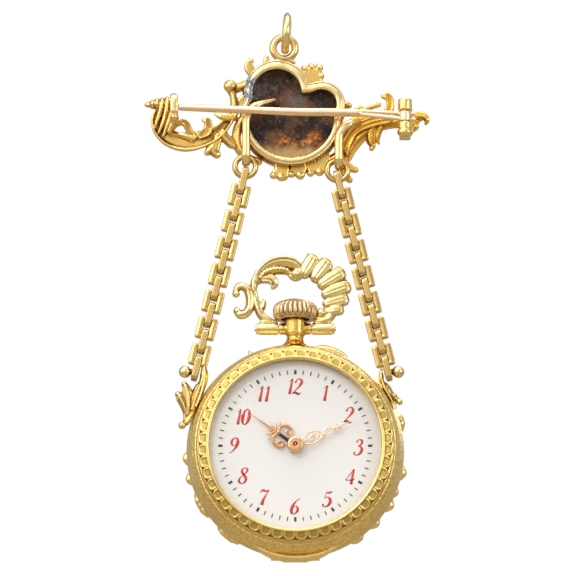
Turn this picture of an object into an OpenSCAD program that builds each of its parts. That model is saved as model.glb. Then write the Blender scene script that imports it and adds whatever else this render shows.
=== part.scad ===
// Chatelaine watch pin: a scrollwork brooch seen from its back, two brick-link
// chains and a lady's open-face pendant watch seen from its dial.
// X runs to the right and Z up as the dial is read, and the dial faces -Y.
// The origin is on the axis of the pin stem, at its mid-length.

/* [Brooch] */
// Depth of the plane that the cast scrollwork lies in
scroll_y = 4.1; // [3.9:0.1:4.3]
// Half the depth of a cast scroll
scroll_t = 0.6; // [0.5:0.05:0.7]
// Depth of the rim of the heart-shaped setting cup
rim_y = 1.9; // [1.8:0.05:2.0]
// Depth of the cup, from its rim to the front of its plate
cup_d = 2.6; // [2.4:0.1:2.8]
// Thickness of the plate that closes the cup at the front
plate_t = 0.6; // [0.5:0.05:0.8]
// How far that plate stands out round the cup
plate_lip = 0.25; // [0.1:0.05:0.3]
// Radius of the wire of the two chain hooks
hook_r = 0.45; // [0.4:0.05:0.45]
// Outer radius of the hanging ring
hang_ring_r = 2.78; // [2.6:0.02:2.9]
// Radius of the wire of the hanging ring
hang_wire_r = 0.55; // [0.45:0.05:0.6]

/* [Pin] */
// Distance from the origin to the hinge axis
hinge_x = 14.8; // [14.6:0.1:15]
// Radius of the pin stem
stem_r = 0.48; // [0.42:0.02:0.5]
// Radius of the hinge barrels
barrel_r = 0.95; // [0.9:0.01:1]
// Radius of the rivet that the pin turns on
rivet_r = 0.4; // [0.35:0.01:0.45]

/* [Chains] */
// Depth of the plane that the chains hang in
chain_y = 2.8; // [2.7:0.05:2.9]
// Number of wide links in each chain
wide_links = 7; // [7:1:7]
// Distance from one wide link to the next in the left chain
pitch_left = 3.68; // [3.66:0.01:3.7]
// Distance from one wide link to the next in the right chain
pitch_right = 3.6; // [3.58:0.01:3.62]
// Length of a link
link_len = 3.22; // [3.18:0.01:3.24]
// Width of a wide link
link_w = 2.6; // [2.5:0.05:2.7]
// Width of each side rail of a wide link
rail_w = 0.88; // [0.84:0.01:0.9]
// Thickness of the bars that close a link's ends
bar_t = 0.6; // [0.55:0.01:0.62]
// Depth of a wide link
wide_t = 0.85; // [0.8:0.01:0.9]
// Depth of a narrow link
narrow_d = 2.1; // [2.05:0.05:2.2]
// Thickness of a narrow link, seen from the front
narrow_t = 0.62; // [0.55:0.01:0.66]
// Lean of the left chain from the upright
lean_left = 13.6; // [13.4:0.1:13.8]
// Lean of the right chain from the upright
lean_right = 14.1; // [13.9:0.1:14.3]

/* [Watch] */
// Sideways place of the watch's centre
case_x = 0.3; // [0.1:0.1:0.5]
// Height of the watch's centre
case_z = -44.85; // [-45:0.05:-44.7]
// Largest radius of the case
case_r = 14.33; // [14.2:0.01:14.5]
// Radius of the opening in the bezel
opening_r = 11.35; // [11.2:0.05:11.4]
// Number of scallops round the bezel
scallops = 48; // [40:1:52]
// Radius of the crown
crown_r = 2.93; // [2.8:0.01:3]
// Number of ribs round the crown
crown_ribs = 26; // [20:1:30]
// Clockwise angle of the hour hand from twelve
hour_angle = 305.5; // [0:0.5:360]
// Clockwise angle of the minute hand from twelve
minute_angle = 67; // [0:1:360]

/* [Hidden] */

$fn = 96;
knot_sides = 8;      // facets round a cast scroll of the watch
brooch_sides = 6;    // facets round a cast scroll of the brooch
cup_sides = 36;      // facets round the heart-shaped cup
layer_step = 0.017;  // from the depth of one scroll of the brooch to the next
eps = 0.01;

// Colours of the metal and the enamel
scroll_gold = [0.80, 0.62, 0.28];
frame_gold = [0.88, 0.76, 0.50];
case_gold = [0.78, 0.64, 0.32];
rose_gold = [0.85, 0.66, 0.52];
enamel = [0.94, 0.94, 0.93];
glass = [0.85, 0.92, 0.95, 0.4];

// Heart-shaped cup: centres of its three lobes, and the height of its waist
left_lobe = [-2.1, 3.05];
right_lobe = [3.75, 1.5];
base_lobe = [-0.25, -0.05];
waist_z = 2;
cup_outer = [4.35, 3.05, 6.55];      // radii of the three lobes
cup_inner = [3.2, 2.05, 5.8];
notch_outer = [2.25, 4.15];
notch_inner = [1.65, 3.05];
notch_from = 27;                     // where the left lobe turns into the notch
notch_to = 105;                      // where the notch turns into the right lobe
plate_y = rim_y + cup_d;

// Eye and hanging ring
eye = [-1.18, 2.6, 9.2];
eye_r = 1.47;
eye_wire_r = 0.5;
hang_z = 11.2;
hang_x = -0.85;
hang_lean = 5;

// Hinge of the pin
barrel_top = [0.18, 1.67];           // lower and upper end of the upper barrel
barrel_foot = [-3.3, -1.42];
knuckle = [-1.32, 0.08];             // lower and upper end of the pin's knuckle
knuckle_r = 0.84;
pad_y = 3.35;                        // plane where the hinge is soldered on
fit = 0.07;                          // running clearance of a hinge pin
tip_x = -15.9;
tip_z = 0.66;
point_len = 2.2;
strand_r = 0.31;                     // the two strands that wrap the rivet

// Catch
catch_x = [-16.2, -15.15];
catch_y = 0.2;
catch_z = 1.3;
catch_r = 1.2;
catch_t = 0.34;

// Chains: each pair gives the left and the right one's value
ring_r = 1.36;
ring_wire_r = 0.33;
hook_x = [-6.2, 6.05];
ring_x = [-6.3, 5.87];
ring_z = [-6.8, -7.3];
first_x = [-7.08, 6.65];             // middle of the first wide link
first_z = [-10.72, -11.27];
pitch = [pitch_left, pitch_right];
lean = [lean_left, -lean_right];
hook_bend = 1.15;                    // radius of the bend of a chain hook
play = 0.1;                          // clearance between links

// Watch, in depths measured towards the viewer from the dial's face
lug_pin_r = 0.4;
pivot_z = first_z[0] - ((wide_links - 0.5) * pitch[0] + link_len / 2 - bar_t) * cos(lean[0])
          + lug_pin_r + 1.5 * play;
pendant_z = -28.65;                  // height of the bow's pivots
collar_r = 0.76;
bow_in = 2.25;                       // inner and outer end of a bow tube, from the middle
bow_out = 4.85;
bow_rod_r = 0.42;
bow_tube_r = 0.8;
stem_bore_r = 0.58;
back_h = -5;                         // back of the case
back_t = 0.6;                        // thickness of the wall there
cover_h = -5.25;                     // front edge of the back cover
cover_r = 14.05;
cover_t = 0.5;
cover_rim = 0.75;                    // height of its straight rim
cover_sag = 1.6;                     // rise of its dome
cover_back = cover_h - cover_rim - cover_sag;
cover_dome_r = (cover_r * cover_r + cover_sag * cover_sag) / (2 * cover_sag);
hinge_h = -4.7;                      // axis of the back cover's hinge
hinge_r = 14.15;
cover_rivet_r = 0.24;
cover_knuckle_r = 0.44;
lug_x = [-12.82, 12.45];             // where each chain holds its lug pin
lug_pin_end = 0.42;                  // how far the pin runs on from there to its lug
lug_ball_x = 1.4;                    // how far outside it the pin's ball stands
lug_ball_r = 0.82;
lug_boss_r = 0.3;
lug_t = 0.9;
link_sweep_r = 1.68;                 // how far round its pin the last link reaches
seat_gap = 0.02;                     // between a casting and the face it sits on

// Places a child, drawn in X and Z, as a plate from depth y0 to depth y1
module plate(y0, y1) translate([0, y1, 0]) rotate([90, 0, 0]) linear_extrude(y1 - y0) children();

// Places a child drawn about the dial's centre, with +Z of its own towards the viewer
module at_dial() translate([case_x, 0, case_z]) rotate([90, 0, 0]) children();

// A round rod from one point to another
module rod(from, to, r) {
    d = to - from;
    translate(from)
        rotate([0, acos(d[2] / norm(d)), atan2(d[1], d[0])])
            cylinder(h = norm(d), r = r);
}

// One knot of a cast scroll: row = [x, z, half width], with the facets laid round that width
module knot(row, y, t, sides) translate([row[0], y, row[1]])
    scale([row[2], min(t, row[2] * 1.4), row[2]] / cos(180 / sides)) sphere(1, $fn = sides);

// A cast scroll that swells and thins along its rows
module scroll(rows, y = scroll_y, t = scroll_t, sides = brooch_sides)
    for (i = [0 : len(rows) - 2]) hull() {
        knot(rows[i], y, t, sides);
        knot(rows[i + 1], y, t, sides);
    }

// Several scrolls of the brooch, each a hair deeper than the last, so that no two faces share a plane
module scrolls(lists)
    for (i = [0 : len(lists) - 1]) scroll(lists[i], scroll_y + layer_step * i);

// Outline of the heart-shaped cup for the three lobe radii and its notch
module heart(radii, notch) {
    translate(left_lobe) circle(radii[0], $fn = cup_sides);
    translate(right_lobe) circle(radii[1], $fn = cup_sides);
    intersection() {
        translate(base_lobe) circle(radii[2], $fn = cup_sides * 1.5);
        translate([-10, -10]) square([20, 10 + waist_z]);
    }
    polygon([left_lobe,
             left_lobe + (radii[0] - 0.15) * [cos(notch_from), sin(notch_from)],
             notch,
             right_lobe + (radii[1] - 0.15) * [cos(notch_to), sin(notch_to)],
             right_lobe,
             base_lobe + radii[2] * [0.8, 0],
             base_lobe - radii[2] * [0.9, 0]]);
}

// The cup, open at the back of the brooch and closed by a plate at its front
module setting_cup() color(frame_gold) {
    difference() {
        plate(rim_y, plate_y) heart(cup_outer, notch_outer);
        plate(rim_y - 1, plate_y - plate_t) heart(cup_inner, notch_inner);
    }
    plate(plate_y - plate_t, plate_y)
        heart([for (r = cup_outer) r + plate_lip], notch_outer + [0.1, plate_lip]);
}

// The eye on top of the cup, and its foot
module eye_loop() color(frame_gold) {
    translate(eye) rotate([90, 0, 0]) rotate_extrude($fn = 24)
        translate([eye_r, 0]) circle(eye_wire_r, $fn = 10);
    plate(eye[1] - eye_wire_r, eye[1] + eye_wire_r)
        polygon([[eye[0] - 1.5, 7.0], [eye[0] + 1.7, 6.9], [eye[0] + 0.8, 7.9], [eye[0] - 0.9, 7.9]]);
}

// A chain hook: wire that comes over the rim, drops, turns back and climbs to the mount
module chain_hook(side, start, over) color(frame_gold) {
    x = hook_x[side];
    bend_z = ring_z[side] + ring_r - ring_wire_r - 1.3 * play - hook_r + hook_bend;
    front = chain_y - hook_bend;
    back = chain_y + hook_bend;
    top = side == 0 ? -0.4 : -2.7;
    climb = side == 0 ? -2.4 : -1.8;
    wire(start, over);
    wire(over, [x, front, top]);
    wire([x, front, top], [x, front, bend_z]);
    wire([x, back, bend_z], [x, back, climb]);
    translate([x, chain_y, bend_z]) rotate([90, 180, 90])
        rotate_extrude(angle = 180, $fn = 20) translate([hook_bend, 0]) circle(hook_r, $fn = 10);
}

// A round wire with a ball at its start, so that the next one meets it smoothly
module wire(from, to) {
    $fn = 10;
    rod(from, to, hook_r);
    translate(to) sphere(hook_r);
}

// Left wing: a C-scroll with its sprouts, the shell cone and the curl with a ball
module left_wing() color(scroll_gold) {
    crescent = [[-17.5, 1.3, 0.8], [-17.9, -0.1, 0.85], [-17.7, -1.4, 0.95],
                [-16.63, -2.7, 0.97], [-14.4, -3.3, 1.1], [-13.0, -3.0, 1.25], [-11.8, -2.7, 1.15],
                [-10.7, -2.35, 0.85], [-9.7, -1.7, 0.65], [-8.8, -0.8, 0.55], [-8.0, 0.3, 0.5],
                [-7.3, 1.5, 0.5], [-6.6, 2.8, 0.5]];
    low_sprout = [[-13.6, -2.6, 0.5], [-14.7, -2.35, 0.4], [-15.57, -1.95, 0.29]];
    mid_sprout = [[-13.5, -2.2, 0.6], [-14.1, -1.3, 0.5], [-14.5, -0.5, 0.45], [-14.9, -0.45, 0.25]];
    tall_sprout = [[-11.4, -2.2, 0.65], [-11.35, -1.2, 0.55], [-11.5, -0.5, 0.5], [-11.85, -0.3, 0.3]];
    curl = [[-8.0, 1.9, 0.42], [-8.0, 2.9, 0.38], [-8.0, 3.8, 0.5], [-8.3, 4.25, 0.85]];
    solder = [[-8.0, 4.2, 0.6], [-7.0, 4.4, 0.5], [-6.2, 4.6, 0.6]];
    leaf_tip = [[-8.3, 0.5, 0.4], [-9.2, 0.45, 0.32], [-10.1, 0.6, 0.15]];
    bud_low = [[-10.4, -2.9, 0.7], [-10.7, -4.0, 0.6], [-10.2, -4.85, 0.75]];
    bud_side = [[-10.8, -3.8, 0.45], [-11.3, -4.6, 0.45]];
    bud_right = [[-9.3, -2.3, 0.6], [-8.8, -3.1, 0.6], [-8.1, -3.8, 0.42]];
    inner_band = [[-7.2, -0.3, 0.4], [-7.4, -1.6, 0.5], [-7.5, -3.0, 0.55], [-7.1, -4.4, 0.5],
                  [-6.0, -5.3, 0.5], [-4.6, -5.9, 0.5]];
    scrolls([crescent, low_sprout, mid_sprout, tall_sprout, curl, solder, leaf_tip,
             bud_low, bud_side, bud_right, inner_band]);
    shell_cone();
}

// The shell: a cone of beads that grow from its tip, with three ribs that run down from it
module shell_cone() {
    rings = 7;
    for (i = [0 : rings - 1]) {
        r = 0.35 + 0.09 * i;
        translate([-19.2 + 0.42 * i, scroll_y, 1.8 + 0.04 * i]) hull()
            for (side = [-1, 1]) translate([0.08 * side, 0, 0.06 * side])
                scale([0.6, 1, 1]) sphere(r, $fn = brooch_sides);
    }
    for (i = [0 : 2])
        scroll([[-17.1 + 0.45 * i, 1.6, 0.28], [-17.2 + 0.35 * i, 0.1, 0.26],
                [-17.3 + 0.3 * i, -1.2, 0.24], [-17.5 + 0.3 * i, -2.3, 0.2]],
               y = scroll_y - scroll_t + 0.08);
}

// Right wing: acanthus ribs that fan from the hinge, its hooked leaf, lobes and end buds
module right_wing() color(scroll_gold) {
    main_rib = [[16.2, 0.2, 0.8], [14.6, -0.1, 1.1], [13.0, -0.4, 1.0], [11.4, -0.8, 0.85],
                [9.9, -1.4, 0.95], [8.6, -2.4, 1.1], [7.6, -3.7, 0.94], [7.15, -5.05, 0.74],
                [6.6, -6.35, 0.58]];
    upper_rib = [[13.0, 0.5, 0.65], [11.4, 0.5, 0.8], [9.6, 0.2, 0.85], [8.0, -0.6, 0.85],
                 [6.9, -1.8, 0.8], [6.0, -3.4, 0.7]];
    tip = [[15.8, 0.1, 1.0], [16.8, 0.1, 0.7], [17.6, -0.05, 0.45], [17.9, -0.45, 0.28]];
    tip_low = [[15.6, -0.4, 0.9], [16.3, -0.8, 0.55], [16.1, -1.4, 0.3]];
    lobe = [[10.6, -1.4, 0.8], [10.1, -2.3, 0.85], [10.2, -3.3, 0.65], [10.35, -3.9, 0.4]];
    hook_leaf = [[12.7, 0.9, 0.5], [12.75, 1.9, 0.42], [12.75, 2.8, 0.4], [12.1, 3.15, 0.25]];
    rib_a = [[9.4, 0.9, 0.5], [10.5, 1.5, 0.3], [11.4, 2.0, 0.2]];
    rib_b = [[8.0, 0.7, 0.5], [8.9, 1.4, 0.22]];
    bud_top = [[6.5, 1.6, 0.4], [7.4, 1.8, 0.4]];
    bud_a = [[7.2, -6.2, 0.5], [7.8, -6.9, 0.6], [8.2, -7.1, 0.45]];
    bud_b = [[6.7, -7.0, 0.5], [7.1, -7.9, 0.6], [7.3, -8.4, 0.5]];
    inner_low = [[6.5, -4.5, 0.57], [5.35, -5.45, 0.68], [4.3, -6.05, 0.78]];
    scrolls([main_rib, upper_rib, tip, tip_low, lobe, hook_leaf, rib_a, rib_b,
             bud_top, bud_a, bud_b, inner_low]);
    translate([hinge_x - 1.1, pad_y, -3.1]) cube([2.2, 1.0, 4.6]);
}

// Leaves of the front border that show beyond the cup
module border_leaves() color(scroll_gold) {
    bud_left = [[-5.4, 6.2, 0.5], [-5.7, 7.0, 0.5], [-5.75, 7.8, 0.22]];
    bud_mid = [[-3.4, 7.3, 0.4], [-3.5, 8.1, 0.28]];
    square_leaf = [[2.2, 5.0, 0.8], [2.4, 6.3, 0.95], [3.2, 6.9, 0.7]];
    square_side = [[3.2, 5.2, 0.7], [3.2, 6.3, 0.8]];
    low_a = [[-1.6, -6.1, 0.8], [-1.5, -7.2, 0.75], [-1.2, -8.0, 0.6]];
    low_a_side = [[-1.5, -7.0, 0.5], [-2.3, -7.75, 0.35]];
    low_b = [[0.5, -6.1, 0.8], [0.8, -7.2, 0.75], [0.8, -7.6, 0.6]];
    low_c = [[4.0, -5.4, 0.8], [3.7, -6.8, 0.7], [3.4, -7.3, 0.4]];
    scrolls([bud_left, bud_mid, square_leaf, square_side, low_a, low_a_side, low_b, low_c]);
}

// The catch: a strip that rises behind the pin, turns over and drops in front of its point
module catch() color(frame_gold) translate([catch_x[0], 0, 0])
    rotate([90, 0, 90]) linear_extrude(catch_x[1] - catch_x[0]) {
        translate([catch_y, catch_z]) difference() {
            circle(catch_r, $fn = 24);
            circle(catch_r - catch_t, $fn = 24);
            translate([-2, -4]) square([4, 4]);
        }
        translate([catch_y - catch_r, 0.05]) square([catch_t, catch_z]);
        translate([catch_y + catch_r - catch_t, -1.2]) square([catch_t, catch_z + 1.25]);
        translate([catch_y + catch_r - catch_t, -1.2]) square([scroll_y - catch_y - catch_r, 1]);
    }

module brooch_mount() {
    setting_cup();
    eye_loop();
    chain_hook(0, [-2.6, 3.03, 2.3], [-4.87, 1.47, 1.23]);
    chain_hook(1, [8.6, 3.1, -0.6], [7.33, 1.84, -1.17]);
    left_wing();
    right_wing();
    border_leaves();
    catch();
    color(scroll_gold) scroll([[-15.7, -0.9, 0.55], [-16.6, -1.5, 0.6]]);
}

// Two barrels on one bracket, with the rivet that the pin's knuckle turns on
module hinge_barrel() color(frame_gold) {
    for (span = [barrel_top, barrel_foot]) {
        translate([hinge_x, 0, span[0]]) cylinder(h = span[1] - span[0], r = barrel_r);
        translate([hinge_x - 0.8, 0, span[0]]) cube([1.6, 2.2, span[1] - span[0]]);
    }
    translate([hinge_x - 0.8, 1.95, barrel_foot[0]])
        cube([1.6, pad_y - 1.95, barrel_top[1] - barrel_foot[0]]);
    translate([hinge_x, 0, barrel_foot[0]]) cylinder(h = barrel_top[1] - barrel_foot[0], r = rivet_r);
}

// The pin: a slightly bent stem with a point, a second strand and a knuckle
module pin() color(rose_gold) difference() {
    union() {
        rod([tip_x, 0, tip_z] * (1 - point_len / -tip_x), [0, 0, 0], stem_r);
        translate([tip_x, 0, tip_z]) rotate([0, 90 + atan(tip_z / -tip_x), 0])
            cylinder(h = point_len + 0.2, r1 = 0.12, r2 = stem_r * 0.98);
        sphere(stem_r + 0.02);
        rod([0, 0, 0], [9, 0, -0.06], stem_r);
        rod([8.6, 0, -0.06], [hinge_x + 1.35, 0, -0.24], strand_r);
        rod([7.6, 0, -0.12], [hinge_x + 1.35, 0, -1.0], strand_r);
        translate([hinge_x, 0, knuckle[0]]) cylinder(h = knuckle[1] - knuckle[0], r = knuckle_r);
    }
    translate([hinge_x, 0, knuckle[0] - 1]) cylinder(h = 4, r = rivet_r + fit);
}

// The ring that hangs the whole jewel, standing in its eye
module hang_ring() color(frame_gold)
    translate([hang_x, eye[1], hang_z]) rotate([0, hang_lean, 0]) rotate([0, 90, 0])
        rotate_extrude() translate([hang_ring_r - hang_wire_r, 0]) circle(hang_wire_r);

// A wide link, face on to the viewer
module wide_link() translate([0, wide_t / 2, 0]) rotate([90, 0, 0]) linear_extrude(wide_t)
    difference() {
        square([link_w, link_len], center = true);
        square([link_w - 2 * rail_w, link_len - 2 * bar_t], center = true);
    }

// A narrow link, edge on to the viewer, longer at its top by extra
module narrow_link(extra = 0) translate([-narrow_t / 2, 0, 0]) rotate([90, 0, 90])
    linear_extrude(narrow_t) difference() {
        translate([-narrow_d / 2, -link_len / 2]) square([narrow_d, link_len + extra]);
        translate([-narrow_d / 2 + 0.5, -link_len / 2 + bar_t])
            square([narrow_d - 1, link_len + extra - 2 * bar_t]);
    }

// One chain: its jump ring, then wide and narrow links in turn down to the lug
module chain(side) color(frame_gold) {
    translate([ring_x[side], chain_y, ring_z[side]]) rotate([90, 0, 0])
        rotate_extrude() translate([ring_r, 0]) circle(ring_wire_r);
    step = pitch[side];
    translate([first_x[side], chain_y, first_z[side]]) rotate([0, lean[side], 0]) {
        for (i = [0 : wide_links - 1]) translate([0, 0, -i * step]) wide_link();
        for (i = [1 : wide_links]) translate([0, 0, -(i - 0.5) * step]) narrow_link();
        top = (ring_z[side] - ring_r + ring_wire_r + 2.5 * play - first_z[side]) / cos(lean[side])
              + bar_t;
        translate([0, 0, 0.5 * step]) narrow_link(top - 0.5 * step - link_len / 2);
    }
}

module chain_left() chain(0);
module chain_right() chain(1);

// Half of the case's outline, from its back to the dial's plane, grown sideways by gap
module case_outline(gap = 0) polygon([[0, back_h], [13.85 + gap, back_h], [14.2 + gap, -4.6],
    [case_r + gap, -3.9], [14.18 + gap, -2.6], [13.8 + gap, -1.2], [13.2 + gap, 0], [0, 0]]);

// Case: a hollow bowl with its pendant, the rods of the bow and the cover's hinge
module watch_case() color(case_gold) {
    difference() {
        union() {
            at_dial() rotate_extrude() difference() {
                case_outline();
                translate([-eps, -0.5]) square([11.45, 1]);
                translate([-eps, back_h + back_t]) square([10.9, 5]);
            }
            translate([case_x, chain_y, 0]) rotate_extrude()
                polygon([[0, -31.6], [2.38, -31.6], [2.0, -31.0], [1.5, -30.6], [1.15, -30.1],
                         [1.12, -29.6], [1.3, -29.45], [1.3, -26.95], [0, -26.95]]);
            bow_rods();
            pusher_guard();
        }
        translate([case_x, chain_y, pendant_z]) cylinder(h = 3, r = stem_bore_r);
        translate([case_x - 5.3, -back_h - 0.9, case_z - 15]) cube([10.6, 2, 1.4]);
    }
    for (side = [-1, 1]) cover_hinge(side * 3.4, 3.2);
    at_dial() translate([-5, -hinge_r, hinge_h]) rotate([0, 90, 0]) cylinder(h = 10, r = cover_rivet_r);
}

// Collars, rods and end caps that carry the bow
module bow_rods() translate([case_x, chain_y, pendant_z]) {
    rod([-bow_in + 0.1, 0, 0], [bow_in - 0.1, 0, 0], collar_r);
    rod([-bow_out - 0.3, 0, 0], [bow_out + 0.3, 0, 0], bow_rod_r);
    for (side = [-1, 1])
        rod([side * (bow_out + 0.08), 0, 0], [side * (bow_out + 0.33), 0, 0], 0.66);
}

// The ridge that guards the setting pusher, right of twelve
module pusher_guard() at_dial() translate([0, 0, -3.2]) {
    rotate([0, 0, 63]) rotate_extrude(angle = 14) translate([13.9, 0]) circle(0.62);
    for (a = [63, 77]) rotate([0, 0, a]) translate([13.9, 0, 0]) sphere(0.62);
}

// One knuckle of the back cover's hinge on the case, and its web
module cover_hinge(x, w) at_dial() translate([x - w / 2, -hinge_r, hinge_h]) {
    rotate([0, 90, 0]) cylinder(h = w, r = cover_knuckle_r);
    translate([0, -0.34, 0]) cube([w, 0.7, 0.85]);
}

// Bezel with a scalloped ring round its opening
module bezel() color(case_gold) at_dial() difference() {
    rotate_extrude() polygon([[opening_r, 0.05], [13.1, 0.05], [12.95, 0.5], [12.65, 0.85],
                              [12.6, 1.15], [11.85, 1.4], [11.8, 1.55], [opening_r, 1.5]]);
    for (i = [0 : scallops - 1]) rotate([0, 0, (i + 0.5) * 360 / scallops])
        translate([11.86, -0.09, 1.0]) cube([1.2, 0.18, 1]);
}

// A thin domed crystal inside the bezel's opening
module crystal() color(glass) at_dial() {
    edge_r = opening_r - 0.05;
    sag = 1.2;
    dome_r = (edge_r * edge_r + sag * sag) / (2 * sag);
    difference() {
        intersection() {
            translate([0, 0, 2.3 - dome_r]) sphere(dome_r, $fn = 200);
            translate([0, 0, 0.75]) cylinder(h = 3, r = edge_r);
        }
        translate([0, 0, 1.9 - dome_r]) sphere(dome_r, $fn = 200);
    }
}

// The enamel dial, with its hole for the hands
module dial() color(enamel) at_dial() difference() {
    translate([0, 0, -0.45]) cylinder(h = 0.45, r = 11.4);
    translate([0, 0, -1]) cylinder(h = 2, r = 0.55);
}

// The hour hand: a boss, a pair of volutes and a long tip
module hour_hand() color(rose_gold) at_dial() rotate([0, 0, -hour_angle]) difference() {
    translate([0, 0, 0.3]) linear_extrude(0.22) difference() {
        union() {
            circle(0.95);
            for (side = [-1, 1]) {
                translate([side * 0.75, 1.6]) circle(0.8);
                translate([side * 0.7, 2.75]) circle(0.5);
            }
            polygon([[-0.6, 0], [0.6, 0], [0.5, 3.4], [0.12, 4.6], [0.06, 7.2], [-0.06, 7.2],
                     [-0.12, 4.6], [-0.5, 3.4]]);
        }
        for (side = [-1, 1]) translate([side * 0.8, 1.6]) circle(0.38);
    }
    cylinder(h = 2, r = 0.5);
}

// The minute hand: a thick hub with its arbor, open loops and a long tip
module minute_hand() color(rose_gold) at_dial() rotate([0, 0, -minute_angle]) {
    translate([0, 0, 0.6]) cylinder(h = 0.85, r = 1.05);
    translate([0, 0, -1.2]) cylinder(h = 2, r = 0.42);
    translate([0, 0, 0.65]) linear_extrude(0.22) difference() {
        union() {
            translate([0, 2.3]) circle(0.85);
            translate([0, 3.7]) circle(0.5);
            translate([0, 4.8]) circle(0.42);
            translate([0, 5.8]) circle(0.34);
            polygon([[-0.3, 0], [0.3, 0], [0.2, 6], [0.07, 7], [0.05, 9.4], [-0.05, 9.4],
                     [-0.07, 7], [-0.2, 6]]);
        }
        for (side = [-1, 1]) translate([side * 0.42, 2.3]) circle(0.22);
    }
}

// The ribbed crown, hollow under its skirt, with its stem
module crown() color(rose_gold) translate([case_x, chain_y, 0]) {
    difference() {
        rotate_extrude() polygon([[0, -26.75], [1.9, -26.75], [1.9, -27.5], [2.55, -27.5], [2.85, -27.0],
                                  [crown_r, -26.4], [2.8, -25.7], [2.35, -25.25], [1.4, -24.85],
                                  [0.7, -24.68], [0, -24.65]]);
        for (i = [0 : crown_ribs - 1]) rotate([0, 0, i * 360 / crown_ribs])
            translate([crown_r + 0.08, 0, -27.6]) cylinder(h = 2.0, r = 0.17, $fn = 24);
    }
    translate([0, 0, -28]) cylinder(h = 1.5, r = stem_bore_r - fit);
}

// The two tubes of the bow that turn on the pendant's rods
module bow_tubes() color(case_gold) translate([case_x, chain_y, pendant_z])
    for (side = [-1, 1]) difference() {
        rod([side * bow_in, 0, 0], [side * bow_out, 0, 0], bow_tube_r);
        rod([side, 0, 0], [side * 6, 0, 0], bow_rod_r + fit);
    }

// The bow's scrollwork: a crook on the left, a C-scroll outside it, shell lobes on the right
module bow() color(scroll_gold) difference() {
    bow_form();
    rod([-8, chain_y, pendant_z], [8, chain_y, pendant_z], bow_tube_r + seat_gap);
}

module bow_form() {
    crook = [[-3.9, -27.3, 0.5], [-4.7, -25.9, 0.45], [-5.0, -24.3, 0.42], [-5.35, -22.9, 0.55],
             [-4.9, -21.7, 0.62], [-4.0, -20.6, 0.66], [-2.8, -19.9, 0.7], [-1.3, -19.6, 0.72],
             [0.0, -19.9, 0.72], [0.65, -20.7, 0.65], [0.15, -21.4, 0.85]];
    inner_leaf = [[-3.9, -21.0, 0.6], [-3.0, -21.6, 0.5], [-2.45, -22.3, 0.42], [-2.5, -22.9, 0.28]];
    under_leaf = [[-2.6, -20.3, 0.6], [-1.4, -20.7, 0.55]];
    c_scroll = [[-7.6, -23.95, 0.36], [-7.2, -23.3, 0.5], [-6.4, -23.2, 0.55], [-5.95, -24.0, 0.5],
                [-5.8, -24.9, 0.5], [-5.95, -25.9, 0.5], [-6.5, -26.7, 0.6], [-7.15, -26.8, 0.6],
                [-7.4, -26.3, 0.3]];
    foot_left = [[-4.4, -25.7, 0.48], [-4.35, -26.6, 0.5], [-4.1, -27.4, 0.5], [-3.3, -27.7, 0.45]];
    shell_back = [[0.6, -20.5, 0.6], [2.1, -20.4, 0.9], [3.8, -21.0, 0.85], [4.9, -22.2, 0.85],
                  [5.3, -23.6, 0.9], [5.1, -25.1, 0.85], [5.2, -26.4, 0.6], [5.0, -27.3, 0.45],
                  [4.0, -27.6, 0.5]];
    tips = [[[2.1, -20.4, 0.7], [2.4, -19.4, 0.32]], [[3.8, -20.9, 0.7], [4.25, -19.9, 0.34]],
            [[5.0, -22.0, 0.8], [6.2, -21.3, 0.34]], [[5.6, -23.4, 0.85], [7.1, -23.0, 0.3]],
            [[5.4, -25.0, 0.8], [6.6, -24.7, 0.35]], [[5.4, -25.8, 0.6], [6.4, -25.7, 0.3]]];
    for (rows = concat([crook, inner_leaf, under_leaf, c_scroll, foot_left, shell_back], tips))
        scroll(rows, chain_y, 0.8, knot_sides);
    translate([4.2, chain_y, -26.75]) sphere(0.66, $fn = 12);
    for (side = [-1, 1]) bow_seat(side);
}

// Foot of the bow's scrollwork on a tube
module bow_seat(side)
    translate([case_x + side * (bow_in + bow_out) / 2 - 0.75, chain_y - 0.45, pendant_z + 0.4])
        cube([1.5, 0.9, 0.62]);

// Fits a cast lug: its boss behind the pin, its seat on the case, and the link's sweep cut free
module lug(side) {
    inward = side == 0 ? 1 : -1;
    face = lug_x[side] + inward * lug_pin_end;
    difference() {
        union() {
            children();
            rod([face, chain_y, pivot_z], [face + inward * 0.58, chain_y, pivot_z], lug_boss_r);
        }
        at_dial() rotate_extrude() case_outline(seat_gap);
        rod([face, chain_y, pivot_z], [face - inward * 4, chain_y, pivot_z], link_sweep_r);
    }
}

module lug_left() color(scroll_gold) lug(0) {
    arm = [[-11.95, -34.5, 0.3], [-11.85, -35.4, 0.4], [-11.76, -36.43, 0.57], [-12.2, -37.4, 0.65],
           [-12.7, -38.4, 0.6], [-13.1, -39.6, 0.5], [-13.7, -40.9, 0.42], [-14.35, -41.5, 0.55]];
    leaf_a = [[-14.15, -36.5, 0.42], [-13.95, -37.7, 0.5], [-13.7, -39.0, 0.45]];
    leaf_b = [[-15.0, -38.0, 0.42], [-14.4, -38.7, 0.4], [-13.9, -39.9, 0.38]];
    for (rows = [arm, leaf_a, leaf_b]) scroll(rows, chain_y, lug_t, knot_sides);
}

module lug_right() color(scroll_gold) lug(1) {
    arm = [[11.6, -34.5, 0.3], [11.6, -35.4, 0.42], [11.95, -36.4, 0.6], [12.6, -37.4, 0.55],
           [13.3, -38.2, 0.42], [14.2, -38.5, 0.42]];
    base = [[12.2, -36.6, 0.6], [12.9, -38.0, 0.5], [13.4, -39.2, 0.4], [13.9, -40.3, 0.3]];
    for (rows = [arm, base]) scroll(rows, chain_y, lug_t, knot_sides);
}

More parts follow.
